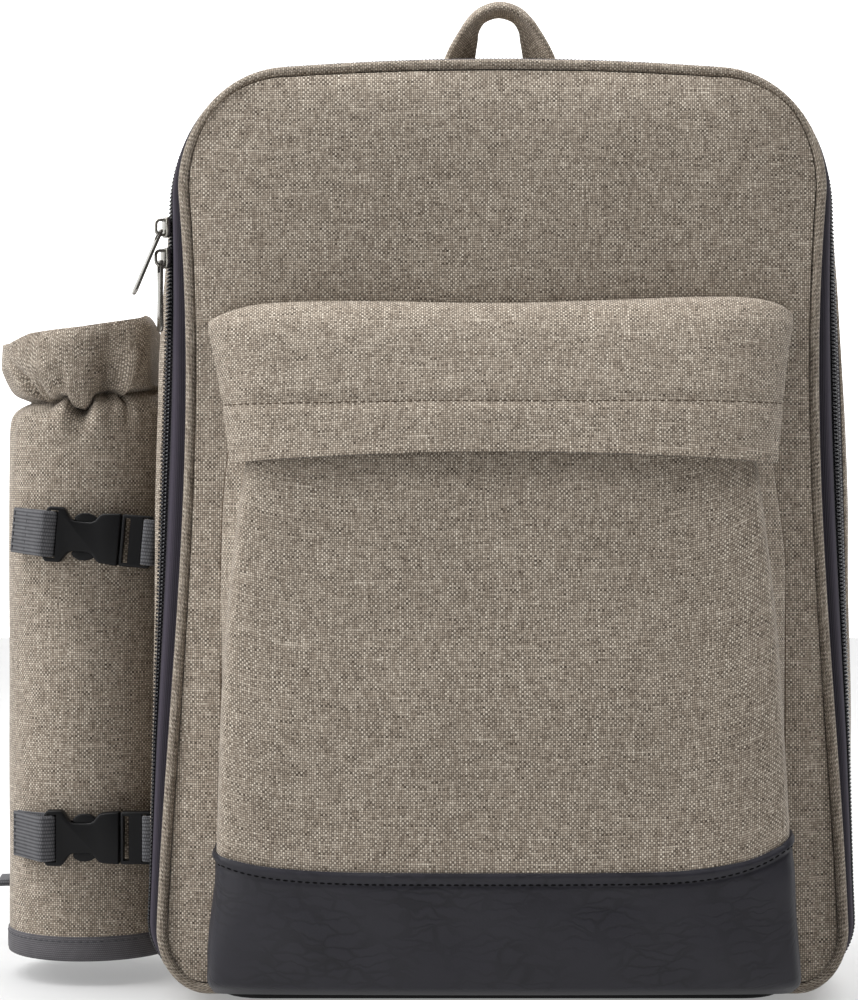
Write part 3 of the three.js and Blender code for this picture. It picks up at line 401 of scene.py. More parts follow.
def band_section(half, thick, crown, bow):
    """Closed section of a strap, with rounded edges; crown swells its two faces, bow turns its edges in."""
    r = thick / 2
    span = np.linspace(-1, 1, 9)
    turn = np.linspace(-np.pi / 2, np.pi / 2, 5)
    right = np.stack([half - r + r * np.cos(turn), r * np.sin(turn)], axis=1)
    swollen = r + crown * (1 - span[1:-1] ** 2)
    top = np.stack([-(half - r) * span[1:-1], swollen], axis=1)
    left = right * -1
    foot = np.stack([(half - r) * span[1:-1], -swollen], axis=1)
    loop = np.vstack([right, top, left, foot, right[:1]])
    loop[:, 1] -= bow * (loop[:, 0] / half) ** 2
    return loop


def band_piece(name, path, across, half, thick, crown=0.0, bow=0.0, thicks=None):
    """Strap along a path, with closed ends."""
    side, normal = frames_along(path, across)

    def section(i, share):
        loop = band_section(half, thick if thicks is None else thicks[i], crown, bow)
        return path[i] + loop[:, :1] * side[i] + share * loop[:, 1:] * normal[i]

    last = len(path) - 1
    columns = [section(0, 0)] + [section(i, 1) for i in range(len(path))] + [section(last, 0)]
    return cloth_piece(name, np.stack(columns, axis=1), weld=True)


def tube_piece(name, path, radius, around=12, closed=False, across=(0.0, -1.0, 0.0)):
    side, normal = frames_along(path, across, closed)
    turn = np.linspace(0, 2 * np.pi, around + 1)[:, None, None]
    points = path[None] + radius * (np.cos(turn) * side[None] + np.sin(turn) * normal[None])
    return cloth_piece(name, points, weld=True)


def plate_piece(name, outline, thick, bevel, segments):
    """Flat plate on an outline of (x, z) points, raised towards -Y."""
    bpy.ops.object.select_all(action="DESELECT")
    bpy.ops.mesh.primitive_circle_add(vertices=len(outline), radius=1, fill_type="NGON")
    piece = named(name)
    for vertex, (u, v) in zip(piece.data.vertices, outline):
        vertex.co = (u * MM, 0, v * MM)
    bpy.ops.object.mode_set(mode="EDIT")
    bpy.ops.mesh.select_all(action="SELECT")
    bpy.ops.mesh.extrude_region_move(TRANSFORM_OT_translate={"value": (0, -thick * MM, 0)})
    bpy.ops.mesh.select_all(action="SELECT")
    bpy.ops.mesh.normals_make_consistent(inside=False)
    bpy.ops.object.mode_set(mode="OBJECT")
    round_edges(piece, bevel, segments, 35)
    return piece


def cut_box(piece, low, high):
    """Cuts a box, given by two corners in millimetres, out of a piece."""
    low, high = np.array(low) * MM, np.array(high) * MM
    bpy.ops.object.select_all(action="DESELECT")
    bpy.ops.mesh.primitive_cube_add(size=1, location=(low + high) / 2, scale=high - low)
    cutter = bpy.context.object
    finish_with(piece, "BOOLEAN", operation="DIFFERENCE", object=cutter, solver="EXACT")
    bpy.data.objects.remove(cutter)


def join_pieces(name, pieces):
    bpy.ops.object.select_all(action="DESELECT")
    for piece in pieces:
        piece.select_set(True)
    bpy.context.view_layer.objects.active = pieces[0]
    bpy.ops.object.join()
    return named(name)


def move_mesh(piece, turn, place):
    """Turns a mesh by a 3x3 matrix and moves it by millimetres, leaving its object at the origin."""
    mesh = piece.data
    flat = np.empty(len(mesh.vertices) * 3)
    mesh.vertices.foreach_get("co", flat)
    moved = flat.reshape(-1, 3) @ np.array(turn).T + np.array(place) * MM
    mesh.vertices.foreach_set("co", moved.ravel())
    mesh.update()


def about_y(degrees):
    """Turn about the Y axis that takes +Z towards +X."""
    c, s = math.cos(math.radians(degrees)), math.sin(math.radians(degrees))
    return np.array([(c, 0, s), (0, 1, 0), (-s, 0, c)])


def repeated(name, master, centres, along, normal):
    """Copies of a small master mesh set along a run, in one piece: its X runs along, its Z outwards."""
    mesh = master.data
    base = np.array([vertex.co[:] for vertex in mesh.vertices])
    faces = [tuple(face.vertices) for face in mesh.polygons]
    side = np.cross(normal, along)
    points = (centres[:, None] * MM + base[None, :, :1] * along[:, None] + base[None, :, 1:2] * side[:, None]
              + base[None, :, 2:] * normal[:, None])
    count = len(base)
    all_faces = [tuple(k + i * count for k in face) for i in range(len(centres)) for face in faces]
    whole = bpy.data.meshes.new(name)
    whole.from_pydata(points.reshape(-1, 3).tolist(), [], all_faces)
    piece = bpy.data.objects.new(name, whole)
    bpy.context.collection.objects.link(piece)
    whole.shade_smooth()
    return piece


def stitch_master(length, radius):
    bpy.ops.object.select_all(action="DESELECT")
    bpy.ops.mesh.primitive_uv_sphere_add(segments=6, ring_count=4, radius=1)
    master = named("stitch_master")
    for vertex in master.data.vertices:
        x, y, z = vertex.co
        vertex.co = (z * length / 2 * MM, y * radius * MM, x * radius * 0.8 * MM)
    face_outwards()
    return master


def stitch_line(name, path, normals, pitch=3.0, length=2.3, radius=0.34, sunk=0.05):
    """Row of stitches along a line of points on a surface."""
    span = run_lengths(path)
    count = max(2, int(span[-1] / pitch))
    place = (np.arange(count) + 0.5) * span[-1] / count
    outward = unit(at_lengths(place, span, normals))
    along = square_to(at_lengths(place + 0.5, span, path) - at_lengths(place - 0.5, span, path), outward)
    master = stitch_master(length, radius)
    piece = repeated(name, master, at_lengths(place, span, path) - outward * sunk, along, outward)
    bpy.data.objects.remove(master)
    return piece


def dress(piece, material, nodes=(), body="bag"):
    """Gives a piece its finish, its body and the CAD nodes it stands for."""
    piece.data.materials.clear()
    piece.data.materials.append(material)
    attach(piece, body)
    if nodes:
        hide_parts(*nodes)


# Finishes

def srgb(r, g, b):
    def linear(value):
        value /= 255
        return value / 12.92 if value <= 0.04045 else ((value + 0.055) / 1.055) ** 2.4
    return (linear(r), linear(g), linear(b), 1.0)


class Finish:
    """One material with its node tree, and short ways to add nodes to it."""

    def __init__(self, name, roughness, **sockets):
        self.material = bpy.data.materials.new(name)
        self.material.use_nodes = True
        self.tree = self.material.node_tree
        self.shader = self.tree.nodes["Principled BSDF"]
        self.shader.inputs["Roughness"].default_value = roughness
        for socket, value in sockets.items():
            self.shader.inputs[socket.replace("_", " ")].default_value = value

    def add(self, kind, **settings):
        node = self.tree.nodes.new("ShaderNode" + kind)
        for key, value in settings.items():
            setattr(node, key, value)
        return node

    def link(self, source, target):
        self.tree.links.new(source, target)

    def feed(self, sockets, values):
        """Sets each socket to its value, or links an output to it."""
        for socket, value in zip(sockets, values):
            if isinstance(value, (int, float, tuple)):
                socket.default_value = value
            else:
                self.link(value, socket)

    def math(self, operation, *values):
        node = self.add("Math", operation=operation)
        self.feed(node.inputs, values)
        return node.outputs[0]

    def times(self, a, b):
        return self.math("MULTIPLY", a, b)

    def scaled(self, value, factor, plus):
        return self.math("MULTIPLY_ADD", value, factor, plus)

    def rounds(self, value):
        """A round for every whole step of a value: 1 in its middle and 0 at its ends."""
        return self.math("SINE", self.times(self.math("FRACT", value), math.pi))

    def vectors(self, operation, a, b):
        node = self.add("VectorMath", operation=operation)
        self.feed(node.inputs, (a, b))
        return node.outputs[0]

    def mix(self, share, a, b, blend="MIX"):
        node = self.add("Mix", data_type="RGBA", blend_type=blend)
        self.feed((node.inputs[0], node.inputs[6], node.inputs[7]), (share, a, b))
        return node.outputs[2]

    def blend(self, share, a, b):
        node = self.add("Mix")
        self.feed((node.inputs[0], node.inputs[2], node.inputs[3]), (share, a, b))
        return node.outputs[0]

    def ramp(self, value, stops):
        node = self.add("ValToRGB")
        while len(node.color_ramp.elements) < len(stops):
            node.color_ramp.elements.new(0.5)
        for element, (place, colour) in zip(node.color_ramp.elements, stops):
            element.position = place
            element.color = colour
        self.link(value, node.inputs[0])
        return node.outputs[0]

    def joined(self, x, y, z=0.0):
        node = self.add("CombineXYZ")
        self.feed(node.inputs, (x, y, z))
        return node.outputs[0]

    def noise(self, vector, scale, detail=2.0, rough=0.5, output="Fac"):
        node = self.add("TexNoise")
        node.inputs["Scale"].default_value = scale
        node.inputs["Detail"].default_value = detail
        node.inputs["Roughness"].default_value = rough
        self.link(vector, node.inputs["Vector"])
        return node.outputs[output]

    def cells(self, vector, scale, feature="SMOOTH_F1"):
        node = self.add("TexVoronoi", feature=feature)
        node.inputs["Scale"].default_value = scale
        self.link(vector, node.inputs["Vector"])
        return node.outputs["Distance"]

    def object_place(self):
        return self.add("TexCoord").outputs["Object"]

    def weave_place(self):
        node = self.add("UVMap", uv_map="UVMap")
        split = self.add("SeparateXYZ")
        self.link(node.outputs[0], split.inputs[0])
        return node.outputs[0], split.outputs[0], split.outputs[1]

    def colour(self, value):
        self.link(value, self.shader.inputs["Base Color"])

    def bump(self, height, strength, distance):
        node = self.add("Bump")
        node.inputs["Strength"].default_value = strength
        node.inputs["Distance"].default_value = distance
        self.link(height, node.inputs["Height"])
        self.link(node.outputs[0], self.shader.inputs["Normal"])

    def rough(self, value, low, high):
        node = self.add("MapRange")
        node.inputs["To Min"].default_value = low
        node.inputs["To Max"].default_value = high
        self.link(value, node.inputs["Value"])
        self.link(node.outputs[0], self.shader.inputs["Roughness"])


# Linen: yarn pitch in metres, slubs and pale stretches per metre, and how strong each of its patterns is; the
# groove's strength is painted shade that darkens the dips between floats
WEAVE_PITCH, SLUBS_PER_M, PALE_PER_M = 0.00092, 150, 42
WEAVE_CHECK, WEAVE_FLOATS, WEAVE_SLUBS, WEAVE_GROOVE_SHADE = 0.34, 0.3, 1.0, 1.0


def linen_cloth(name, depth=1.0):
    """Melange plain weave: every float is rounded and dips at its ends, and has its own tone, and a few
    yarns are paler for a stretch; its colour is darkened in the dips between floats as painted shade."""
    cloth = Finish(name, 0.85, Sheen_Weight=0.1, Sheen_Roughness=0.5, Specular_IOR_Level=0.2)
    place, u, v = cloth.weave_place()
    drift = cloth.scaled(cloth.noise(place, 120, 1.0), 0.0006, -0.0003)
    warp = cloth.math("DIVIDE", cloth.math("ADD", u, drift), WEAVE_PITCH)
    weft = cloth.math("DIVIDE", cloth.math("SUBTRACT", v, drift), WEAVE_PITCH)
    warp_yarn, weft_yarn = cloth.math("FLOOR", warp), cloth.math("FLOOR", weft)
    over = cloth.math("FLOORED_MODULO", cloth.math("ADD", warp_yarn, weft_yarn), 2.0)
    warp_round, weft_round = cloth.rounds(warp), cloth.rounds(weft)
    sides = cloth.blend(over, weft_round, warp_round)
    ends = cloth.blend(over, warp_round, weft_round)
    height = cloth.times(sides, cloth.scaled(ends, 0.6, 0.4))

    one_float = cloth.add("TexWhiteNoise", noise_dimensions="2D")
    cloth.link(cloth.joined(warp_yarn, weft_yarn), one_float.inputs["Vector"])
    along_warp = cloth.joined(cloth.times(warp_yarn, 7.31), cloth.times(v, SLUBS_PER_M))
    along_weft = cloth.joined(cloth.times(u, SLUBS_PER_M), cloth.times(weft_yarn, 5.77))
    slub = cloth.blend(over, cloth.noise(along_weft, 1, 1.0), cloth.noise(along_warp, 1, 1.0))
    long_warp = cloth.joined(cloth.times(warp_yarn, 3.93), cloth.times(v, PALE_PER_M), 8.0)
    long_weft = cloth.joined(cloth.times(u, PALE_PER_M), cloth.times(weft_yarn, 4.17), 3.0)
    pale = cloth.blend(over, cloth.noise(long_weft, 1, 0.0), cloth.noise(long_warp, 1, 0.0))
    pale = cloth.math("MAXIMUM", cloth.scaled(pale, 2.0, -1.32), 0.0)
    tone = cloth.scaled(over, WEAVE_CHECK, 0.5 - WEAVE_CHECK / 2 - WEAVE_FLOATS / 2)
    tone = cloth.scaled(one_float.outputs[0], WEAVE_FLOATS, tone)
    tone = cloth.math("ADD", tone, cloth.scaled(slub, WEAVE_SLUBS, -WEAVE_SLUBS / 2))
    tone = cloth.math("ADD", tone, pale)
    yarns = cloth.ramp(tone, [(0.0, srgb(80, 69, 58)), (0.5, srgb(159, 146, 131)),
                              (1.0, srgb(218, 207, 191))])
    # Painted shade: the colour darkens where the yarn's height falls, in the dips between floats
    painted_groove_shade = cloth.scaled(height, WEAVE_GROOVE_SHADE, 1.0 - WEAVE_GROOVE_SHADE * 0.8)
    # depth below 1 darkens the whole cloth; the piping uses this as painted shade
    cloudy = cloth.scaled(cloth.noise(place, 14, 2.0), 0.1 * depth, 0.95 * depth)
    painted_shade_and_cloud = cloth.times(painted_groove_shade, cloudy)
    cloth.colour(cloth.mix(1.0, yarns, cloth.joined(painted_shade_and_cloud, painted_shade_and_cloud, painted_shade_and_cloud), "MULTIPLY"))
    cloth.bump(height, 0.3, 0.0003)
    return cloth.material


def pocket_leather():
    """Charcoal leather-look cloth: fine pebble grain and long shallow creases, whose darker colour is painted
    shade.
    """
    leather = Finish("pocket_leather", 0.5, Specular_IOR_Level=0.34)
    place, _, _ = leather.weave_place()
    stir = leather.noise(place, 70, 3.0, output="Color")
    warped = leather.vectors("ADD", place, leather.vectors("MULTIPLY", stir, (0.012, 0.012, 0.012)))
    folds = leather.cells(leather.vectors("MULTIPLY", warped, (74, 225, 1)), 1.0, "DISTANCE_TO_EDGE")
    crease = leather.math("SMOOTH_MIN", leather.times(folds, 8.0), 1.0, 0.3)
    where = leather.noise(place, 34, 3.0)
    crease = leather.math("MAXIMUM", crease, leather.scaled(where, -3.6, 2.3))
    crease = leather.math("MINIMUM", crease, 1.0)
    grain = leather.cells(place, 950)
    fine = leather.noise(place, 1500, 3.0)
    height = leather.scaled(grain, -0.12, leather.times(fine, 0.06))
    height = leather.math("ADD", height, leather.times(crease, 0.24))
    tone = leather.times(leather.noise(place, 40, 3.0), 0.5)
    base = leather.mix(tone, srgb(28, 27, 34), srgb(41, 40, 48))
    # Painted shade: the creases are coloured darker, as if shade fell in them
    leather.colour(leather.mix(crease, srgb(21, 20, 26), base))
    leather.rough(fine, 0.42, 0.6)
    leather.bump(height, 0.5, 0.0006)
    return leather.material


def ribbed_weave(name, dark, pale, rib, pick, roughness, strength, band=None, shine=0.25):
    """Narrow woven goods: ribs along the length and picks across them, painted darker in their hollows as
    shade and paler on their crests, and a paler band along them painted as sheen.
    """
    goods = Finish(name, roughness, Sheen_Weight=0.04, Specular_IOR_Level=shine)
    place, u, v = goods.weave_place()
    ribs = goods.math("DIVIDE", v, rib)
    odd = goods.times(goods.math("FLOORED_MODULO", goods.math("FLOOR", ribs), 2.0), 0.5)
    picks = goods.math("ADD", goods.math("DIVIDE", u, pick), odd)
    height = goods.times(goods.rounds(ribs), goods.scaled(goods.rounds(picks), 0.6, 0.4))
    worn = goods.scaled(goods.noise(place, 220, 3.0), 0.5, -0.25)
    # Painted shade and highlight: the colour goes from dark between ribs and picks to pale on their crests,
    # plus random wear
    yarns = goods.mix(goods.math("ADD", height, worn), dark, pale)
    # Painted sheen: a paler band along the tape's middle, which leaves the strip by the piping darker as
    # painted shade
    if band:
        middle, reach, sheen_tint = band
        away = goods.math("DIVIDE", goods.math("ABSOLUTE", goods.math("SUBTRACT", v, middle)), reach)
        near = goods.math("MAXIMUM", goods.math("SUBTRACT", 1.0, away), 0.0)
        yarns = goods.mix(near, yarns, sheen_tint)
    goods.colour(yarns)
    goods.bump(height, strength, 0.0003)
    return goods.material


def moulded_plastic():
    plastic = Finish("buckle_plastic", 0.46, Specular_IOR_Level=0.2)
    place = plastic.object_place()
    fine = plastic.noise(place, 2600, 2.0)
    slow = plastic.noise(place, 60, 3.0)
    plastic.colour(plastic.mix(slow, srgb(7, 7, 8), srgb(13, 13, 15)))
    plastic.rough(slow, 0.4, 0.54)
    plastic.bump(fine, 0.12, 0.0001)
    return plastic.material


def bright_nickel():
    nickel = Finish("bright_nickel", 0.22, Metallic=1.0)
    place = nickel.object_place()
    rub = nickel.noise(place, 500, 4.0, 0.6)
    nickel.colour(nickel.mix(rub, srgb(132, 129, 123), srgb(180, 177, 170)))
    nickel.rough(rub, 0.16, 0.34)
    nickel.bump(rub, 0.08, 0.0001)
    return nickel.material


def coil_plastic():
    coil = Finish("zip_coil", 0.24, Specular_IOR_Level=0.6)
    place = coil.object_place()
    coil.colour(coil.mix(coil.noise(place, 900, 2.0), srgb(16, 16, 18), srgb(38, 38, 42)))
    return coil.material


def base_sheet():
    sheet = Finish("base_sheet", 0.6, Specular_IOR_Level=0.35)
    place = sheet.object_place()
    sheet.colour(sheet.mix(sheet.noise(place, 50, 3.0), srgb(13, 12, 14), srgb(24, 23, 26)))
    sheet.bump(sheet.cells(place, 600), 0.3, 0.0004)
    return sheet.material


def sewing_thread(name, dark, pale):
    thread = Finish(name, 0.8, Specular_IOR_Level=0.12)
    place = thread.object_place()
    thread.colour(thread.mix(thread.noise(place, 1400, 2.0), dark, pale))
    return thread.material


LINEN = linen_cloth("linen_cloth")
# Painted shade: the piping's cloth is the same linen made darker, standing in for the shade on the round cord
PIPING_LINEN_PAINTED_SHADE = linen_cloth("piping_linen_painted_shade", 0.86)
LEATHER = pocket_leather()
# The zip tape's paler band is a painted sheen, and its darker strip by the piping is painted shade
TAPE = ribbed_weave("zip_tape", srgb(20, 18, 23), srgb(42, 38, 46), 0.0011, 0.0007, 0.9, 0.5,
                    band=(0.0095, 0.0045, srgb(62, 57, 67)), shine=0.1)
WEBBING = ribbed_weave("strap_webbing", srgb(45, 45, 48), srgb(99, 99, 102), 0.00155, 0.0011, 0.8, 0.6)
BINDING = ribbed_weave("pouch_binding", srgb(62, 60, 63), srgb(100, 98, 101), 0.0009, 0.0009, 0.8, 0.35)
PLASTIC = moulded_plastic()
NICKEL = bright_nickel()
COIL = coil_plastic()
BASE = base_sheet()
BROWN_THREAD = sewing_thread("brown_thread", srgb(74, 62, 51), srgb(112, 98, 84))
DARK_THREAD = sewing_thread("dark_thread", srgb(58, 48, 40), srgb(88, 75, 63))
BLACK_THREAD = sewing_thread("black_thread", srgb(5, 5, 6), srgb(12, 12, 14))
GREY_THREAD = sewing_thread("grey_thread", srgb(52, 52, 55), srgb(88, 88, 91))


# Body of the bag

def make_front_panel():
    """Front of linen, rolled in behind its piping."""
    grid, edge = filled_outline(FRONT_Y, 3.6, 132, 104)
    x, z = grid[..., 0], grid[..., 1]
    rise = np.clip((edge - 1.3) / 3.2, 0, 1)
    roll = 9.5 * (1 - rise ** 2 * (3 - 2 * rise))
    y = panel_y(x, z) + roll + 0.7 * soft_noise(x, z, 85, 3) * np.clip(edge / 20, 0, 1)
    points = np.stack([x, y, z], axis=2)
    piece = cloth_piece("front_panel_cloth", points, thick=1.6, weave=np.stack([x, z], axis=2), even=False)
    dress(piece, LINEN, ["front_panel"])


def make_front_piping():
    """Linen-covered cord round the front."""
    half = moved_out(joined(half_outline(FRONT_Y)), CORD_RADIUS)
    half[0, 0] = half[-1, 0] = 0
    loop = evenly(joined([half, mirrored(half)]), 420)
    piece = tube_piece("front_piping_cord", at_depth(loop, FRONT_Y), CORD_RADIUS, closed=True)
    dress(piece, PIPING_LINEN_PAINTED_SHADE, ["front_piping"])


def make_zip_tapes():
    """The two woven tapes and the strip that the teeth sit on."""
    count = 260
    front_rows = [(-62, -3.2), (-60.8, -2.2), (-59.4, -1.0), (-57, 0.3), (-54, 0.8), (-52, 0.5),
                  (-50.4, 0)]
    front = np.stack([zip_arch(y, count, grow) for y, grow in front_rows])
    tape = cloth_piece("zip_tape_front_cloth", smooth_through(front, 19, count), thick=0.8)
    dress(tape, TAPE, ["zip_tape_front"])
    right = to_the_right(count)
    rear_rows = [(-45.4, -0.3), (-43.6, -0.1), (-41.4, -0.4), (-39.3, -1.7)]
    rear = np.stack([zip_arch(y, count, -1.5 * (1 - right) + grow * right) for y, grow in rear_rows])
    tape = cloth_piece("zip_tape_rear_cloth", rear, thick=0.8)
    dress(tape, TAPE, ["zip_tape_rear"])
    core_rows = [(-50.6, -0.3), (-48, 0.1), (-45.2, -0.3)]
    core = np.stack([zip_arch(y, count, grow) for y, grow in core_rows])
    core = cloth_piece("zip_chain_core", core, thick=1.2)
    dress(core, COIL, ["zip_chain"])


def make_zip_teeth():
    """Two rows of teeth, the rear row half a pitch on from the front one."""
    bpy.ops.object.select_all(action="DESELECT")
    bpy.ops.mesh.primitive_cylinder_add(vertices=6, radius=1, depth=2)
    master = named("coil_tooth")
    for vertex in master.data.vertices:
        x, y, z = vertex.co
        vertex.co = (x * 0.56 * MM, z * 1.3 * MM, y * 0.8 * MM)
    face_outwards()
    round_edges(master, 0.22, 1, 70)
    before, run, after = (zip_arch(ZIP_Y + y, 1500, 0.55) for y in (-1.5, 0, 1.5))
    span = run_lengths(run)
    for row, (shift, offset) in {"front": (0.0, -1.2), "rear": (0.5, 1.2)}.items():
        place = np.arange(1.5 + shift * TOOTH_PITCH, span[-1] - 1.5, TOOTH_PITCH)
        along = unit(at_lengths(place + 1, span, run) - at_lengths(place - 1, span, run))
        side = square_to(at_lengths(place, span, after - before), along)
        centres = at_lengths(place, span, run) + offset * side
        teeth = repeated("zip_teeth_" + row, master, centres, along, np.cross(along, side))
        dress(teeth, COIL)
    bpy.data.objects.remove(master)


def make_side_gusset():
    """Linen round the sides and the top, over the rear tape at the left and beside it at the right."""
    count = 300
    behind = np.concatenate([np.linspace(-37, 55, 30), [58, 60]])
    over_zip = np.concatenate([[-45, -44.6, -43.8, -42, -40], behind])
    beside_zip = np.concatenate([[-40.6, -40.4, -40, -39.4, -38.4], behind])
    grows = np.interp(over_zip, [-45, -44.6, -43.8, -37, -34], [-0.5, 0.1, 0.35, 0.35, 0])
    left_rows, right_rows = (np.stack([arch(y, count, grow) for y, grow in zip(depths, grows)])
                             for depths in (over_zip, beside_zip))
    right = to_the_right(count)[None, :, None]
    points = smooth_through(left_rows * (1 - right) + right_rows * right, 109, count)
    x, y, z = points[..., 0], points[..., 1], points[..., 2]
    inner = np.clip((y + 40) / 12, 0, 1) * np.clip((60 - y) / 12, 0, 1)
    ripple = 0.8 * soft_noise(y + 0.3 * x, z, 70, 5) * inner
    edge = 1.2 * np.clip((y - 57) / 3, 0, 1) ** 2
    ripple = np.where(x > -100, ripple, 0.25 * ripple)
    points = points + grid_normals(points) * (ripple - edge)[..., None]
    under = 3.4 * np.clip((-34 - y) / 6, 0, 1) * np.clip((78 - z) / 44, 0, 1) ** 1.5
    points[..., 0] -= np.sign(x) * under
    piece = cloth_piece("side_gusset_cloth", points, thick=1.5, even=False)
    dress(piece, LINEN, ["side_gusset"])


def make_bottom_gusset():
    """Linen round the foot, from corner to corner."""
    foot_depths = [60, 42, 25, 8, -8, -21, -34, -37, -40, -45.5, -50, -58, -61, -62]
    grows = [0] * 12 + [-0.8, -2.6]
    foot = np.stack([foot_run(y, 140, g) for y, g in zip(foot_depths, grows)])
    piece = cloth_piece("bottom_gusset_cloth", smooth_through(foot, 53, 140), thick=1.6)
    dress(piece, LINEN, ["bottom_gusset"])


def make_back_panel():
    """Padded back, quilted by two upright seams and a border."""
    grid, edge = filled_outline(BACK_Y, 0.3, 110, 88)
    x, z = grid[..., 0], grid[..., 1]
    face = BACK_Y + SEAM_GAP + BACK_THICK + 3 * swell(x, z) - 4.0 * np.clip(1 - edge / 9, 0, 1) ** 2
    for seam in (-BACK_SEAM_X, BACK_SEAM_X):
        face -= 2.6 * np.exp(-np.abs(x - seam) / 3.0) * np.clip(edge / 16, 0, 1)
    face -= 2.0 * np.exp(-np.abs(edge - BACK_BORDER) / 2.4)
    face += 0.5 * soft_noise(x, z, 60, 11) * np.clip(edge / 12, 0, 1)
    points = np.stack([x, face, z], axis=2)[::-1]
    weave = np.stack([x, z], axis=2)[::-1]
    piece = cloth_piece("back_panel_pad", points, thick=5.2, weave=weave)
    dress(piece, LINEN, ["back_panel"])


def make_base():
    """Sheet that the bag stands on, with rounded corners."""
    corner = np.linspace(0, np.pi / 2, 7)
    outline = []
    for turn, (sx, sy) in enumerate(((1, -1), (1, 1), (-1, 1), (-1, -1))):
        for a in corner:
            angle = -np.pi / 2 + turn * np.pi / 2 + a
            middle_x = sx * (BASE_HALF - BASE_CORNER)
            middle_y = BASE_FRONT + BASE_CORNER if sy < 0 else BASE_BACK - BASE_CORNER
            outline.append((middle_x + BASE_CORNER * np.cos(angle), middle_y + BASE_CORNER * np.sin(angle)))
    piece = plate_piece("base_panel_sheet", outline, 3.6, 1.2, 3)
    move_mesh(piece, [(1, 0, 0), (0, 0, 1), (0, -1, 0)], (0, 0, 0))
    smooth_shade(piece)
    dress(piece, BASE, ["base_panel"])


# Front pocket

def pocket_half(hand, heights, share):
    """One side of a pocket section, from its seam on the panel to the middle of the face."""
    half = 1 if hand > 0 else 2
    across, out = POCKET_PROFILE[:, 0], POCKET_PROFILE[:, 1]
    z = heights(across, hand)
    x = from_table(POCKET_TABLE, z, half) * across
    y = from_table(POCKET_TABLE, z, 3)
    seat = seat_y(x, z)
    face = np.stack([x, seat + (y - seat) * out * share, z], axis=1)
    seam_z = float(heights(np.array([1.0]), hand)[0])
    seam_face = from_table(POCKET_TABLE, seam_z, half)
    seam_x = max(seam_face + 0.5, min(118.5, seam_face + 8))
    seam_y = float(seat_y(np.array(seam_x), np.array(seam_z)))
    seam = np.array([(seam_x, seam_y, seam_z), (seam_x - 0.2 * share, seam_y - 3 * share, seam_z)])
    return np.vstack([seam, face])


def pocket_row(heights, share=1.0):
    """One pocket section from the left seam round the face to the right seam; heights gives z by share
    across and by hand."""
    left = pocket_half(-1, heights, share) * np.array([-1, 1, 1])
    return np.vstack([left, pocket_half(1, heights, share)[:-1][::-1]])


def leather_seam(across, hand):
    """Height of the seam between cloth and leather, which rises towards the sides, most at the right."""
    return LEATHER_SEAM_Z + np.where(hand > 0, 14.0, 6.5) * across ** 6


def make_pocket():
    """Upper part of the pocket, in linen, and its two side seams."""
    shares = [0, 0.06, 0.14, 0.3, 0.46, 0.62, 0.8, 1]
    rows = [pocket_row(lambda a, hand, t=t: (leather_seam(a, hand) - 2) * (1 - t) + POCKET_TOP_Z * t)
            for t in shares]
    points = smooth_through(np.stack(rows), 110, 170)
    x, z = points[..., 0], points[..., 2]
    face = np.where(x > 0, from_table(POCKET_TABLE, z, 1), from_table(POCKET_TABLE, z, 2))
    inner = np.clip((0.93 - np.abs(x) / face) / 0.17, 0, 1)
    lift = 0.9 * soft_noise(x, z, 75, 21) * inner
    points = points + grid_normals(points) * lift[..., None]
    piece = cloth_piece("front_pocket_cloth", points, thick=1.6)
    dress(piece, LINEN, ["front_pocket"])
    for hand, column in (("left", 0), ("right", -1)):
        z = np.linspace(66, 258, 80)
        x = np.interp(z, points[:, column, 2], points[:, column, 0]) * 1.006
        line = np.stack([x, panel_y(x, z) - 0.5, z], axis=1)
        forward = np.tile([0.0, -1.0, 0.0], (len(line), 1))
        row = stitch_line("pocket_seam_" + hand, line, forward, pitch=2.5, length=2.5, radius=0.42)
        dress(row, BROWN_THREAD)


def make_pocket_base():
    """Lower part of the pocket, in leather-look cloth, thickened along its upper edge."""
    low = [(5.4, 0.12), (6.6, 0.36), (10, 0.72), (14, 0.94)]
    rows = [pocket_row(lambda a, hand, z=z: np.full(len(a), float(z)), share) for z, share in low]
    rows += [pocket_row(lambda a, hand, t=t: 5 * (1 - t) + (leather_seam(a, hand) + LEATHER_OVERLAP) * t)
             for t in (0.23, 0.4, 0.62, 0.84, 0.93, 1)]
    points = smooth_through(np.stack(rows), 110, 200)
    x, z = points[..., 0], points[..., 2]
    top = leather_seam(np.clip(np.abs(x) / LEATHER_HALF, 0, 1), x) + LEATHER_OVERLAP - z
    lift = 0.9 * np.clip(1 - top / 26, 0, 1)
    lift += 1.1 * hump(top, 2.0, 1.9) - 0.4 * hump(top, 5.0, 1.1)
    lift += 0.9 * soft_noise(x, z, 46, 31) * np.clip((z - 14) / 12, 0, 1) * np.clip(top / 14, 0, 1)
    points = points + grid_normals(points) * lift[..., None]
    piece = cloth_piece("pocket_base_leather", points, thick=1.5, rim=0.4)
    dress(piece, LEATHER, ["pocket_base"])
    sew_leather(points)


def sew_leather(points):
    """Row of stitches 5 mm below the leather's upper edge, on the grid of its points."""
    normal = grid_normals(points)
    line, outward = [], []
    for j in range(points.shape[1]):
        x = points[points.shape[0] // 2, j, 0]
        across = abs(x) / LEATHER_HALF
        if across > 1.02:
            continue
        z = points[:, j, 2]
        target = float(leather_seam(min(1.0, across), x)) + LEATHER_OVERLAP - 5.0
        k = int(np.argmax(z > target))
        if k == 0:
            continue
        f = (target - z[k - 1]) / (z[k] - z[k - 1])
        line.append(points[k - 1, j] * (1 - f) + points[k, j] * f)
        outward.append(normal[k, j])
    row = stitch_line("pocket_base_stitches", np.array(line), np.array(outward), radius=0.5)
    dress(row, BLACK_THREAD)


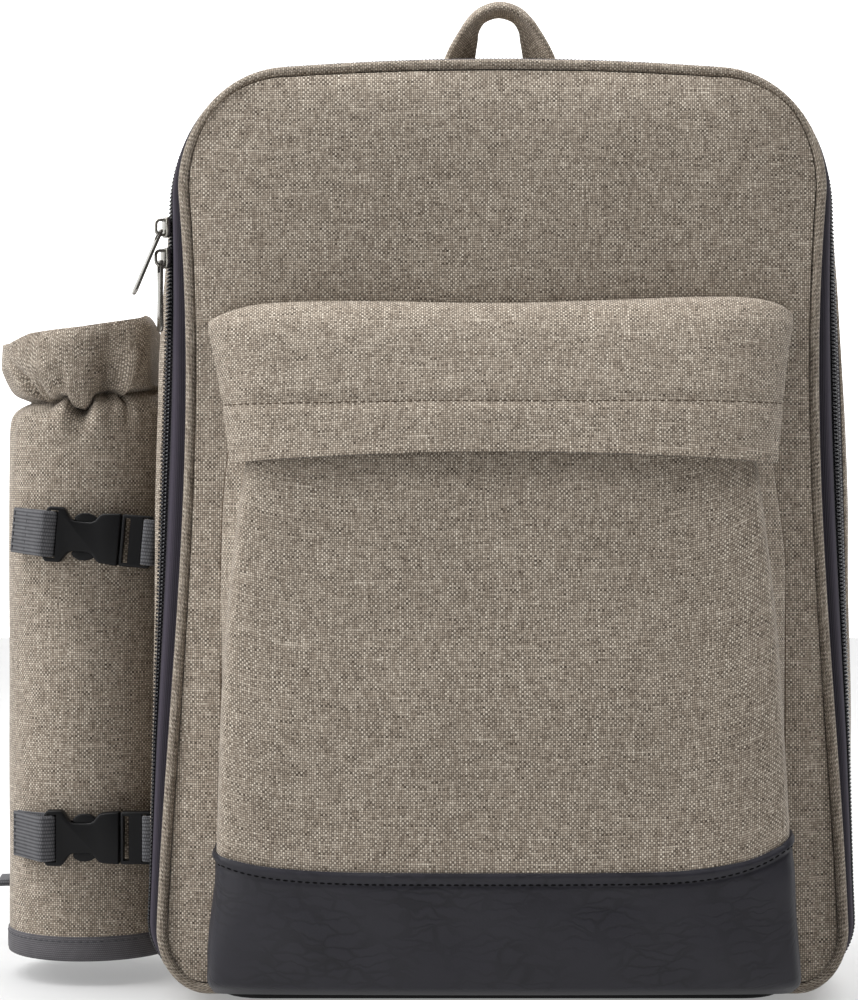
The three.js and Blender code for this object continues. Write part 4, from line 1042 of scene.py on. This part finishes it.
def make_flap():
    """Flap that hangs over the pocket from its seam on the front."""
    rows, a = [], FLAP_COLUMNS
    last = len(FLAP_TABLE) - 1
    for i, (z, y, half, back, side) in enumerate(FLAP_TABLE):
        lift = 4.5 * (1 - a ** 2) * max(0, 1 - i / 2)
        fall = np.where(a < 0, 8.3 * np.abs(a) ** 12, 6.4 * np.abs(a) ** 18) * min(1, max(0, i - 3) / 2)
        fall = fall - 2.4 * np.clip(a, 0, 1) * min(1, i / 4)
        x = half * a + np.where(a < 0, 2.4, 1.0) * a * min(1, i / 3)
        height = z + lift - fall
        depth = y + back * np.abs(a) ** 7 + side * np.abs(a) ** FLAP_END_POWERS[i]
        if i == last:
            x = x * 0.985
            depth = seat_y(x, height) - 0.6
        rows.append(np.stack([x, depth, height], axis=1))
    points = smooth_through(np.stack(rows), 90, 150)
    x, z = points[..., 0], points[..., 2]
    row = np.linspace(0, last, len(points))[:, None]
    lift = 0.8 * soft_noise(x, z, 70, 41) * np.clip(row, 0, 1) * np.clip((last - row) / 2, 0, 1)
    lift = lift - 0.7 * hump(row, 1.34, 0.1) + 0.25 * hump(row, 0.12, 0.16)
    points = points + grid_normals(points) * lift[..., None]
    piece = cloth_piece("pocket_flap_cloth", points, thick=2.2, rim=0.5, even=False)
    dress(piece, LINEN, ["pocket_flap"])
    line, normal = points[17, 2:-2], grid_normals(points)[17, 2:-2]
    row = stitch_line("pocket_flap_stitches", line, normal, pitch=3.2, length=2.6, radius=0.32, sunk=0.0)
    dress(row, DARK_THREAD)


def make_carry_loop():
    """Loop on top, whose left half mirrors its right half."""
    left = LOOP_TABLE[:-1][::-1] * np.array([-1, 1, -1]) + np.array([0, 0, 180])
    fine = smooth_run(np.vstack([LOOP_TABLE, left]), 72)
    turn = np.radians(fine[:, 2])
    across = np.stack([-np.cos(turn), np.sin(turn), np.zeros(len(turn))], axis=1)
    piece = band_piece("carry_loop_band", at_depth(fine, LOOP_Y), across, 10.0, 3.2, crown=0.35, bow=2.4)
    dress(piece, LINEN, ["carry_loop"])


# Bottle pouch at the left side

NECK_LINE = np.array([
    # degrees from the front, towards the bag positive; height of the drawn-in neck; how far it draws in
    (-180, 258, 9), (-120, 258, 9), (-90, 258, 10), (-60, 257.6, 11.5), (-48, 258, 12),
    (-31, 256.7, 12), (-16, 260.2, 10.5), (-12, 259.8, 11), (-8, 255, 12.6), (-3, 254, 13),
    (2, 254, 13), (5.5, 256.5, 12), (8.5, 260.3, 10.8), (16, 261.5, 10.2), (29, 262, 10.6),
    (33, 259.7, 12), (37, 261.5, 10.6), (56, 262.5, 9.4), (80, 263, 8.6), (120, 261, 8),
    (150, 259, 9), (180, 258, 9),
])
POUCH_FOLDS = [
    # degrees, height, spread in degrees, spread in height, depth, slant in degrees per mm
    (19.5, 268, 8, 13, 8.4, 0.0),
    (36, 271, 5, 10, -2.2, 0.0),
    (-39.5, 263, 4.5, 8, 6.8, -1.36), (-27.5, 262, 4, 5, 3.8, -1.0),
    (-22, 270, 14, 10, -1.6, 0.0),
    (0, 249, 5, 6, 2.6, 0.0),
    (-14, 250, 6, 8, -1.2, 0.0),
    (14, 252, 6, 8, -1.2, 0.0),
    (33, 252, 4, 8, 1.6, 0.0),
    (-66, 248, 7, 10, 1.4, 0.0),
    (70, 268, 9, 14, 2.4, 0.0), (104, 268, 10, 14, 2.6, 0.0), (140, 266, 9, 14, 2.8, 0.0),
    (175, 268, 10, 14, 2.6, 0.0), (-80, 270, 12, 10, -1.0, 0.0), (-105, 268, 10, 14, 1.6, 0.0),
    (-140, 266, 9, 14, 2.8, 0.0),
]
RIM_LINE = np.array([
    # degrees, height of the collar's rim
    (-180, 288), (-90, 283.4), (-60, 283.8), (-38, 287.6), (0, 290.2), (45, 295), (60, 296.5),
    (90, 297), (180, 288),
])


def make_pouch():
    """Round pouch with a drawn-in neck and a folded collar, pressed flat towards the bag."""
    count, rows = 240, 180
    degrees = np.linspace(-180, 180, count + 1)[None, :]
    share = np.linspace(0, 1, rows)[:, None]
    share = np.where(share < 0.5, share * POUCH_PLAIN / 0.5, POUCH_PLAIN + (share - 0.5) / 0.5 * POUCH_COLLAR)
    rim = from_table(RIM_LINE, degrees, 1)
    z = POUCH_LOW + share * (rim - POUCH_LOW) / (POUCH_PLAIN + POUCH_COLLAR)
    neck = from_table(NECK_LINE, degrees, 1)
    draw = from_table(NECK_LINE, degrees, 2)
    below = np.where(z < neck, neck - z, 0)
    above = np.where(z >= neck, z - neck, 0)
    r = POUCH_SKIN - draw * np.where(z < neck, np.exp(-(below / 3.4) ** 1.15), np.exp(-above / 4.8))
    outer = hump(degrees, -88, 42)
    r = r + (1.4 + 2.2 * outer) * np.clip(above / 15, 0, 1)
    r = r - 1.6 * (1 - outer) * np.clip((z - rim + 7) / 7, 0, 1) ** 2
    droop = 1.2 + 2.9 * hump(degrees, -2, 52)
    lip = droop * hump(above, 5.0, 3.4) * (z >= neck)
    for middle, height, wide, tall, depth, slant in POUCH_FOLDS:
        gap = (degrees - middle - slant * (z - height) + 180) % 360 - 180
        r = r - depth * hump(gap, 0, wide) * hump(z, height, tall)
    r = r + 0.5 * soft_noise(degrees * 0.67, z, 60, 51) * np.clip((z - 22) / 20, 0, 1)
    r = np.where(z < 250, r, np.minimum(r, POUCH_SKIN + 4))
    angle = np.radians(degrees - 90)
    x, y = POUCH_X + r * np.cos(angle), POUCH_Y + r * np.sin(angle)
    limit = -146.6 - 8.6 * np.clip((z - 254) / 14, 0, 1) ** 1.5
    limit = limit - 3.0 * np.clip((z - rim + 6) / 6, 0, 1) ** 2
    x = limit - 1.6 * np.logaddexp(0, (limit - x) / 1.6)
    points = np.stack([x, y, z - lip], axis=2)
    weave = cloth_lengths(points)
    weave[..., 0] = np.radians(degrees) * POUCH_SKIN
    piece = cloth_piece("bottle_pouch_cloth", points, thick=1.8, weld=True, weave=weave, rim=0.5, even=False)
    dress(piece, LINEN, ["bottle_pouch"])


def make_pouch_binding():
    """Band sewn round the pouch's foot."""
    turn = np.linspace(0, 2 * np.pi, 97)
    outward = np.stack([np.cos(turn), np.sin(turn), 0 * turn], axis=1)

    def ring(radius, level):
        return np.array([POUCH_X, POUCH_Y, level]) + radius * outward

    section = [(36.5, 10.6), (37.4, 10.6), (38.1, 11.0), (38.4, 12.4), (38.5, 15.9), (38.4, 19.8),
               (38.3, 21.0), (37.9, 21.5), (37.4, 21.4)]
    rings = np.stack([ring(radius, level) for radius, level in section])
    piece = cloth_piece("pouch_binding_band", rings, thick=0.9, weld=True)
    dress(piece, BINDING, ["pouch_binding"])
    line = ring(BINDING_STITCH_R, BINDING_STITCH_Z)
    row = stitch_line("pouch_binding_stitches", line, outward, pitch=3.1, radius=0.3)
    dress(row, GREY_THREAD)


def make_pouch_base():
    """Disc in the pouch's foot."""
    bpy.ops.object.select_all(action="DESELECT")
    bpy.ops.mesh.primitive_cylinder_add(vertices=64, radius=35.2 * MM, depth=3 * MM,
                                        location=(POUCH_X * MM, POUCH_Y * MM, 12.5 * MM))
    disc = named("pouch_base_disc")
    bpy.ops.object.transform_apply(location=True, rotation=True, scale=True)
    round_edges(disc, 0.8, 2, 40)
    smooth_shade(disc)
    dress(disc, BASE, ["pouch_base"])


# Straps and buckles

SOCKET_HALF = [
    # along the strap, half-width
    (-24.3, 10.2), (-23.8, 11.5), (-22.7, 12.1), (-17.2, 12.1), (-16.0, 11.3), (-14.4, 8.8), (-13.2, 7.3),
    (-11.8, 6.7), (-7.6, 6.5), (-4.2, 6.7), (-2.7, 7.5), (-1.7, 8.9), (-0.6, 10.2), (0.7, 10.8),
    (3.4, 11.1), (8.6, 11.5),
]
UPWARDS = (0.0, 0.0, 1.0)
PLUG_FRAME = [(9, -11.4), (22.5, -11.4), (22.5, 11.4), (9, 11.4)]
PRONG = [
    (9.8, 8.2), (-1.4, 8.2), (-2.4, 9.0), (-3.8, 9.9), (-6.0, 10.4), (-8.6, 10.4), (-10.8, 9.4),
    (-12.0, 8.0), (-11.8, 6.8), (-9.6, 5.7), (-4.4, 5.2), (9.8, 5.2),
]


def set_in_place(piece, level):
    """Gives a piece, made level and at height 0, its strap's tilt about the buckle and its height."""
    height, tilt = STRAP_LEVELS[level]
    move_mesh(piece, np.eye(3), (-BUCKLE_X, 0, 0))
    move_mesh(piece, about_y(tilt), (BUCKLE_X, 0, height))


def tilt_room(level):
    """Room that a tilted strap needs at its edges."""
    return math.sin(math.radians(STRAP_LEVELS[level][1])) * STRAP_HALF


def make_socket(level):
    """Waisted buckle half with a slot for the webbing and a mouth for the plug."""
    outline = SOCKET_HALF + [(u, -v) for u, v in SOCKET_HALF[::-1]]
    socket = plate_piece("buckle_socket_" + level + "_shell", outline, BUCKLE_THICK, 0.9, 3)
    cut_box(socket, (-23, -9, -10.4), (-18.9, 2, 10.4))
    cut_box(socket, (-13, -5.0, -8.6), (12, -1.5, 8.6))
    move_mesh(socket, np.eye(3), (BUCKLE_X, BUCKLE_BACK, 0))
    set_in_place(socket, level)
    smooth_shade(socket, 35)
    dress(socket, PLASTIC, ["buckle_socket_" + level])


def make_plug(level):
    """Buckle half with two slots and two prongs."""
    plug = plate_piece("plug_frame", PLUG_FRAME, 5.7, 0.8, 3)
    cut_box(plug, (10.3, -8, -9.8), (12.8, 2, 9.8))
    cut_box(plug, (18.2, -8, -10.4), (20.4, 2, 10.4))
    move_mesh(plug, np.eye(3), (0, -0.4, 0))
    parts = [plug]
    for side in (1, -1):
        prong = plate_piece("plug_prong", [(u, v * side) for u, v in PRONG], 3.2, 0.6, 3)
        move_mesh(prong, np.eye(3), (0, -1.65, 0))
        parts.append(prong)
    plug = join_pieces("buckle_plug_" + level + "_shell", parts)
    move_mesh(plug, np.eye(3), (BUCKLE_X, BUCKLE_BACK, 0))
    set_in_place(plug, level)
    smooth_shade(plug, 35)
    dress(plug, PLASTIC, ["buckle_plug_" + level])


def on_pouch(degrees, radius):
    """Point beside the pouch, by degrees from its front and distance from its middle."""
    angle = math.radians(degrees)
    return (POUCH_X + radius * math.sin(angle), POUCH_Y - radius * math.cos(angle), 0)


def make_sewn_strap(level):
    """Webbing from the pouch through the socket's slot and back, with two rows of stitches."""
    slot_x, bar_x = BUCKLE_X - 21.1, BUCKLE_X - 23.8
    near = POUCH_RADIUS + 0.5 + tilt_room(level) + 0.65
    far = near + 1.8
    run = np.array([on_pouch(d, near) for d in (-48.5, -42, -36, -29, -22)] + [
        (bar_x + 0.2, BUCKLE_BACK + 1.15, 0), (slot_x + 0.8, BUCKLE_BACK - 0.6, 0),
        (slot_x + 0.9, BUCKLE_MIDDLE, 0), (slot_x + 0.7, BUCKLE_FRONT + 0.6, 0),
        (bar_x + 0.3, BUCKLE_FRONT - 1.15, 0), (bar_x - 2.4, BUCKLE_FRONT - 0.6, 0),
        on_pouch(-33, far + 2.8), on_pouch(-41, far + 0.8), on_pouch(-48.5, far)], dtype=float)
    strap = band_piece("strap_sewn_" + level + "_webbing", smooth_run(run, 90), UPWARDS, STRAP_HALF, 1.4)
    set_in_place(strap, level)
    dress(strap, WEBBING, ["strap_sewn_" + level])

    for k, (degrees, lift) in enumerate(((-46.5, 0.9), (-32, 3.7))):
        line = np.tile(on_pouch(degrees, far + lift), (12, 1))
        line[:, 2] = np.linspace(-9, 9, 12)
        angle = math.radians(degrees)
        outward = np.tile([math.sin(angle), -math.cos(angle), 0.0], (12, 1))
        row = stitch_line(f"strap_stitches_{level}_{k}", line, outward, pitch=2.6, length=2.1, radius=0.3)
        set_in_place(row, level)
        dress(row, BLACK_THREAD)


def make_side_strap(level):
    """Webbing from the plug's slot back to the bag's side."""
    room = tilt_room(level)
    run = np.array([
        (BUCKLE_X + 19.1, BUCKLE_MIDDLE - 1, 0), (BUCKLE_X + 19.5, BUCKLE_FRONT - 0.6, 0),
        (BUCKLE_X + 21.6, BUCKLE_FRONT - 1.15, 0), (-151.5, BUCKLE_FRONT - 0.3, 0), (-150.3, -34, 0),
        (-149.2, -28, 0), (-147.3 - room, -20, 0), (-146.1 - room, -12, 0)])
    strap = band_piece("strap_side_" + level + "_webbing", smooth_run(run, 56), UPWARDS, STRAP_HALF, 1.3)
    set_in_place(strap, level)
    dress(strap, WEBBING, ["strap_side_" + level])


# Zip sliders and pulls

SLIDER_PLAN = [
    (-4.4, -2.0), (-3.4, -2.7), (-1.8, -3.4), (2.9, -3.5), (3.9, -3.2), (4.4, -2.4),
    (4.4, 2.4), (3.9, 3.2), (2.9, 3.5), (-1.8, 3.4), (-3.4, 2.7), (-4.4, 2.0),
]
PULL_HALF, PULL_LENGTH = 2.6, 30.4
PULL_EDGE = [(-1.6, 0.75), (-2.3, 0.45), (-2.6, -0.3), (-2.2, -7.5), (-2.1, -14)]


def rounded_arch(half, low, top, radius):
    """Arch with two rounded upper corners, from its left foot to its right foot and back over the top."""
    turn = np.linspace(0, np.pi / 2, 6)
    right = [(half - radius + radius * math.cos(a), top - radius + radius * math.sin(a)) for a in turn]
    left = [(-x, y) for x, y in right[::-1]]
    return [(-half, low), (half, low)] + right + left


def chain_x(y, z):
    """Left-hand x of the zip chain's face at one depth and height."""
    run = arch(y, 600, 1.0)[:250]
    order = np.argsort(run[:, 2])
    return float(np.interp(z, run[order, 2], run[order, 0]))


def slider_seat(level):
    """Turn, outward direction and place of a slider on the chain."""
    z = SLIDER_LEVELS[level][0]
    facing = math.atan((chain_x(ZIP_Y - 1.5, z) - chain_x(ZIP_Y + 1.5, z)) / 3)
    c, s = math.cos(facing), math.sin(facing)
    outward = np.array([-c, -s, 0.0])
    turn_out = np.array([(c, -s, 0), (s, c, 0), (0, 0, 1)])
    return turn_out, outward, np.array([chain_x(ZIP_Y, z), ZIP_Y, z]) + 0.6 * outward


def make_slider(level):
    """Slider: a plate on the chain, with the bail that its pull hangs on."""
    turn_out, _, seat = slider_seat(level)
    plate = plate_piece("slider_plate", SLIDER_PLAN, 2.2, 0.5, 3)
    move_mesh(plate, [(0, 1, 0), (0, 0, 1), (1, 0, 0)], (0, 0, 0))
    foot, *wire = rounded_arch(3.25, 1.2, 5.75, 2.0)
    path = evenly(np.array([(-out, 0.0, x) for x, out in wire + [foot]]), 40)
    bail = tube_piece("slider_bail", path, 0.68, around=10, across=(0.0, 1.0, 0.0))
    piece = join_pieces("zip_slider_" + level + "_metal", [plate, bail])
    move_mesh(piece, turn_out, seat)
    smooth_shade(piece)
    dress(piece, NICKEL, ["zip_slider_" + level])


def make_pull(level):
    """Pull tab with an eye for the bail, as it hangs at rest."""
    turn_out, outward, seat = slider_seat(level)
    turn = np.linspace(np.pi, 2 * np.pi, 13)
    end = [(PULL_HALF * math.cos(a), PULL_HALF - PULL_LENGTH + PULL_HALF * math.sin(a)) for a in turn]
    outline = PULL_EDGE + end + [(-x, z) for x, z in PULL_EDGE[::-1]]
    pull = plate_piece("zip_pull_" + level + "_metal", outline, 1.2, 0.35, 2)
    cut_box(pull, (-1.45, -3, -4.7), (1.45, 2, -0.55))
    move_mesh(pull, np.eye(3), (0, 0.6, 0))
    move_mesh(pull, [(0, -1, 0), (1, 0, 0), (0, 0, 1)], (0, 0, 0))
    move_mesh(pull, turn_out @ about_y(SLIDER_LEVELS[level][1]), seat + 3.7 * outward - np.array([0, 0, 1.6]))
    smooth_shade(pull)
    dress(pull, NICKEL, ["zip_pull_" + level], body="zip_pull_" + level)


# Shoulder straps behind

PAD_TABLE = np.array([
    # z, x, y, half-width
    (386, 44, 75.8, 25), (366, 48, 83.5, 27), (330, 56, 92, 29), (285, 68, 96, 29),
    (240, 80, 94, 28), (200, 88, 88, 25), (174, 92, 83, 18), (164, 93, 81, 13),
])
CUSHION_HALF, CUSHION_RISE = 4, 1.5
ADJUSTER = [(-16, -10.5), (16, -10.5), (16, 10.5), (-16, 10.5)]
ADJUSTER_X, ADJUSTER_Y, ADJUSTER_Z, ADJUSTER_TILT = 114.4, 74.6, 57, 11.3
# Runs of webbing: x, y, z, and the turn and the lean of the webbing's width in degrees
WEBBING_RUN = np.array([
    (93.2, 78, 164.3, 0, 0), (99, 77, 131, 0, 8), (105.6, 75.4, 99, 0, 11.3), (112.2, 74.2, 67.9, 0, 11.3)])
TAB_RUN = np.array([(116.6, 74.2, 46.1, 0, 11.3), (118.4, 71.6, 36, 0, 8), (120, 68.9, 23, 0, 4)])
TAIL_RIGHT_RUN = np.array([
    (115.5, 76.6, 56, 0, 11.3), (118.5, 81, 40, 0, 11.3), (121.5, 82, 22, 0, 9), (123.5, 81, 8, 0, 6)])
TAIL_LEFT_RUN = np.array([
    (-115.5, 76.6, 56, 0, 11.3), (-124, 82, 47, 25, 8), (-142, 84, 39, 55, 4), (-172, 83, 34, 82, 0),
    (-205, 80, 31, 90, 0), (-220, 79, 30, 90, 0), (-239, 77.5, 29.4, 90, 0)])


def strap_run(piece_name, node, stations, side, half, count, thicks=None):
    """Webbing through stations, mirrored where side is -1."""
    fine = smooth_run(stations * np.array([side, 1, 1, 1, 1]), count)
    turn = np.radians(fine[:, 3])
    lean = np.radians(fine[:, 4]) * np.sign(fine[:, 0])
    across = np.stack([np.cos(turn) * np.cos(lean), np.sin(turn), np.sin(lean)], axis=1)
    path = fine[:, :3] - np.array([0, WEBBING_THICK / 2, 0])
    piece = band_piece(piece_name, path, across, half, WEBBING_THICK, thicks=thicks)
    dress(piece, WEBBING, [node])


def make_shoulder_pad(name, side):
    """Padded part of a shoulder strap, with flat ends."""
    rows = []
    for z, x, y, half in PAD_TABLE:
        loop = []
        for k in np.linspace(-1, 1, 9):
            out = CUSHION_RISE * (1 - k * k) - CUSHION_HALF + CUSHION_HALF * (1 - abs(k) ** 5)
            loop.append((x * side + k * half, y + out, z))
        for k in np.linspace(1, -1, 9)[1:]:
            loop.append((x * side + k * half, y - CUSHION_HALF - CUSHION_HALF * (1 - abs(k) ** 5), z))
        rows.append(loop)
    rows = np.array(rows)
    first, last = rows[:1].copy(), rows[-1:].copy()
    first[..., 1], last[..., 1] = first[..., 1].mean(), last[..., 1].mean()
    points = smooth_through(np.concatenate([first, rows, last]), 90, 81)
    piece = cloth_piece("shoulder_pad_" + name + "_cushion", points[::-1, ::-1], weld=True)
    dress(piece, LINEN, ["shoulder_pad_" + name])


def make_adjuster(name, side):
    """Webbing below a shoulder pad, the tab it runs to and the adjuster between them."""
    for node, run, count in (("shoulder_webbing_", WEBBING_RUN, 60), ("strap_tab_", TAB_RUN, 30)):
        strap_run(node + name + "_strap", node + name, run, side, SHOULDER_HALF, count)
    lock = plate_piece("strap_adjuster_" + name + "_shell", ADJUSTER, 3.6, 0.7, 3)
    cut_box(lock, (-13, -6, -7.4), (13, 2, -3.6))
    cut_box(lock, (-13.5, -6, 2.6), (13.5, 2, 6.8))
    move_mesh(lock, about_y(-ADJUSTER_TILT * side), (ADJUSTER_X * side, ADJUSTER_Y, ADJUSTER_Z))
    smooth_shade(lock)
    dress(lock, PLASTIC, ["strap_adjuster_" + name])


def make_strap_tails():
    """Loose ends of the webbing; the left one's tip is folded over."""
    strap_run("strap_tail_right_strap", "strap_tail_right", TAIL_RIGHT_RUN, 1, STRAP_HALF, 40)
    thicks = np.where(np.linspace(0, 6, 90) > 5.0, 3.4, WEBBING_THICK)
    strap_run("strap_tail_left_strap", "strap_tail_left", TAIL_LEFT_RUN, 1, STRAP_HALF, 90, thicks)


make_front_panel()
make_front_piping()
make_zip_tapes()
make_zip_teeth()
make_side_gusset()
make_bottom_gusset()
make_back_panel()
make_base()
make_pocket()
make_pocket_base()
make_flap()
make_carry_loop()
make_pouch()
make_pouch_binding()
make_pouch_base()
for strap_level in STRAP_LEVELS:
    make_socket(strap_level)
    make_plug(strap_level)
    make_sewn_strap(strap_level)
    make_side_strap(strap_level)
for slider_level in SLIDER_LEVELS:
    make_slider(slider_level)
    make_pull(slider_level)
for strap_name, strap_side in (("left", -1), ("right", 1)):
    make_shoulder_pad(strap_name, strap_side)
    make_adjuster(strap_name, strap_side)
make_strap_tails()


# Studio, in metres

FLOOR_SIZE, FLOOR_DARK, FLOOR_PALE = 14, (0.36, 0.36, 0.36, 1), (0.4, 0.4, 0.4, 1)
BACKDROP_SIZE, BACKDROP_PLACE = 9, (0, 2.6, 2)
WORLD_FILL, WORLD_SEEN = 0.03, 0.97
CAMERA_PLACE, CAMERA_LENS, SENSOR_HEIGHT = (-0.0312, -1.065, 0.2137), 84.74, 36
BAG_MIDDLE, LAMP_SIZE = np.array([0.0, 0.0, 0.2]), 1.2
LAMPS = [
    # name, degrees from the front with left negative, degrees above the bag, power, distance
    ("left_high", -80, 62, 36, 2.2), ("left_side", -76, 35, 28, 2.2), ("left_low", -50, 9, 15, 2.2),
    ("right_high", 75, 62, 41, 2.2), ("overhead", 0, 88, 20, 2.4),
]


def soft_box(name, turn, height, power, away):
    """Square lamp aimed at the bag."""
    a, e = math.radians(turn), math.radians(height)
    to = -away * np.array([math.sin(a) * math.cos(e), -math.cos(a) * math.cos(e), math.sin(e)])
    bpy.ops.object.light_add(type="AREA", location=tuple(BAG_MIDDLE - to))
    light = bpy.context.object
    light.name = name
    light.data.size = LAMP_SIZE
    light.data.energy = power
    light.rotation_mode = "XYZ"
    light.rotation_euler = (math.acos(-to[2] / np.linalg.norm(to)), 0, math.atan2(to[1], to[0]) - math.pi / 2)


bpy.ops.object.select_all(action="DESELECT")
bpy.ops.mesh.primitive_plane_add(size=FLOOR_SIZE, location=(0, 0, -0.0005))
floor = named("studio_floor")
floor_finish = Finish("studio_floor", 0.7, Emission_Strength=0.3, Emission_Color=(1, 1, 1, 1))
uneven = floor_finish.noise(floor_finish.object_place(), 3, 2.0)
floor_finish.colour(floor_finish.mix(uneven, FLOOR_DARK, FLOOR_PALE))
floor.data.materials.append(floor_finish.material)

bpy.ops.object.select_all(action="DESELECT")
bpy.ops.mesh.primitive_plane_add(size=BACKDROP_SIZE, location=BACKDROP_PLACE, rotation=(math.pi / 2, 0, 0))
backdrop = named("studio_backdrop")
bpy.ops.object.transform_apply(location=True, rotation=True, scale=True)
backdrop_finish = Finish("studio_backdrop", 0.9, Emission_Strength=1.0, Emission_Color=(1, 1, 1, 1))
backdrop.data.materials.append(backdrop_finish.material)

for lamp in LAMPS:
    soft_box(*lamp)

world = bpy.context.scene.world or bpy.data.worlds.new("studio")
bpy.context.scene.world = world
world.use_nodes = True
tree = world.node_tree
tree.nodes["Background"].inputs["Color"].default_value = (1, 1, 1, 1)
seen = tree.nodes.new("ShaderNodeMath")
seen.operation = "MULTIPLY_ADD"
seen.inputs[1].default_value = WORLD_SEEN - WORLD_FILL
seen.inputs[2].default_value = WORLD_FILL
tree.links.new(tree.nodes.new("ShaderNodeLightPath").outputs["Is Camera Ray"], seen.inputs[0])
tree.links.new(seen.outputs[0], tree.nodes["Background"].inputs["Strength"])
bpy.context.scene.view_settings.view_transform = "Standard"

bpy.ops.object.camera_add(location=CAMERA_PLACE, rotation=(math.pi / 2, 0, 0))
camera = bpy.context.object
camera.name = "photo_camera"
camera.data.sensor_fit = "VERTICAL"
camera.data.sensor_height = SENSOR_HEIGHT
camera.data.lens = CAMERA_LENS
bpy.context.scene.camera = camera
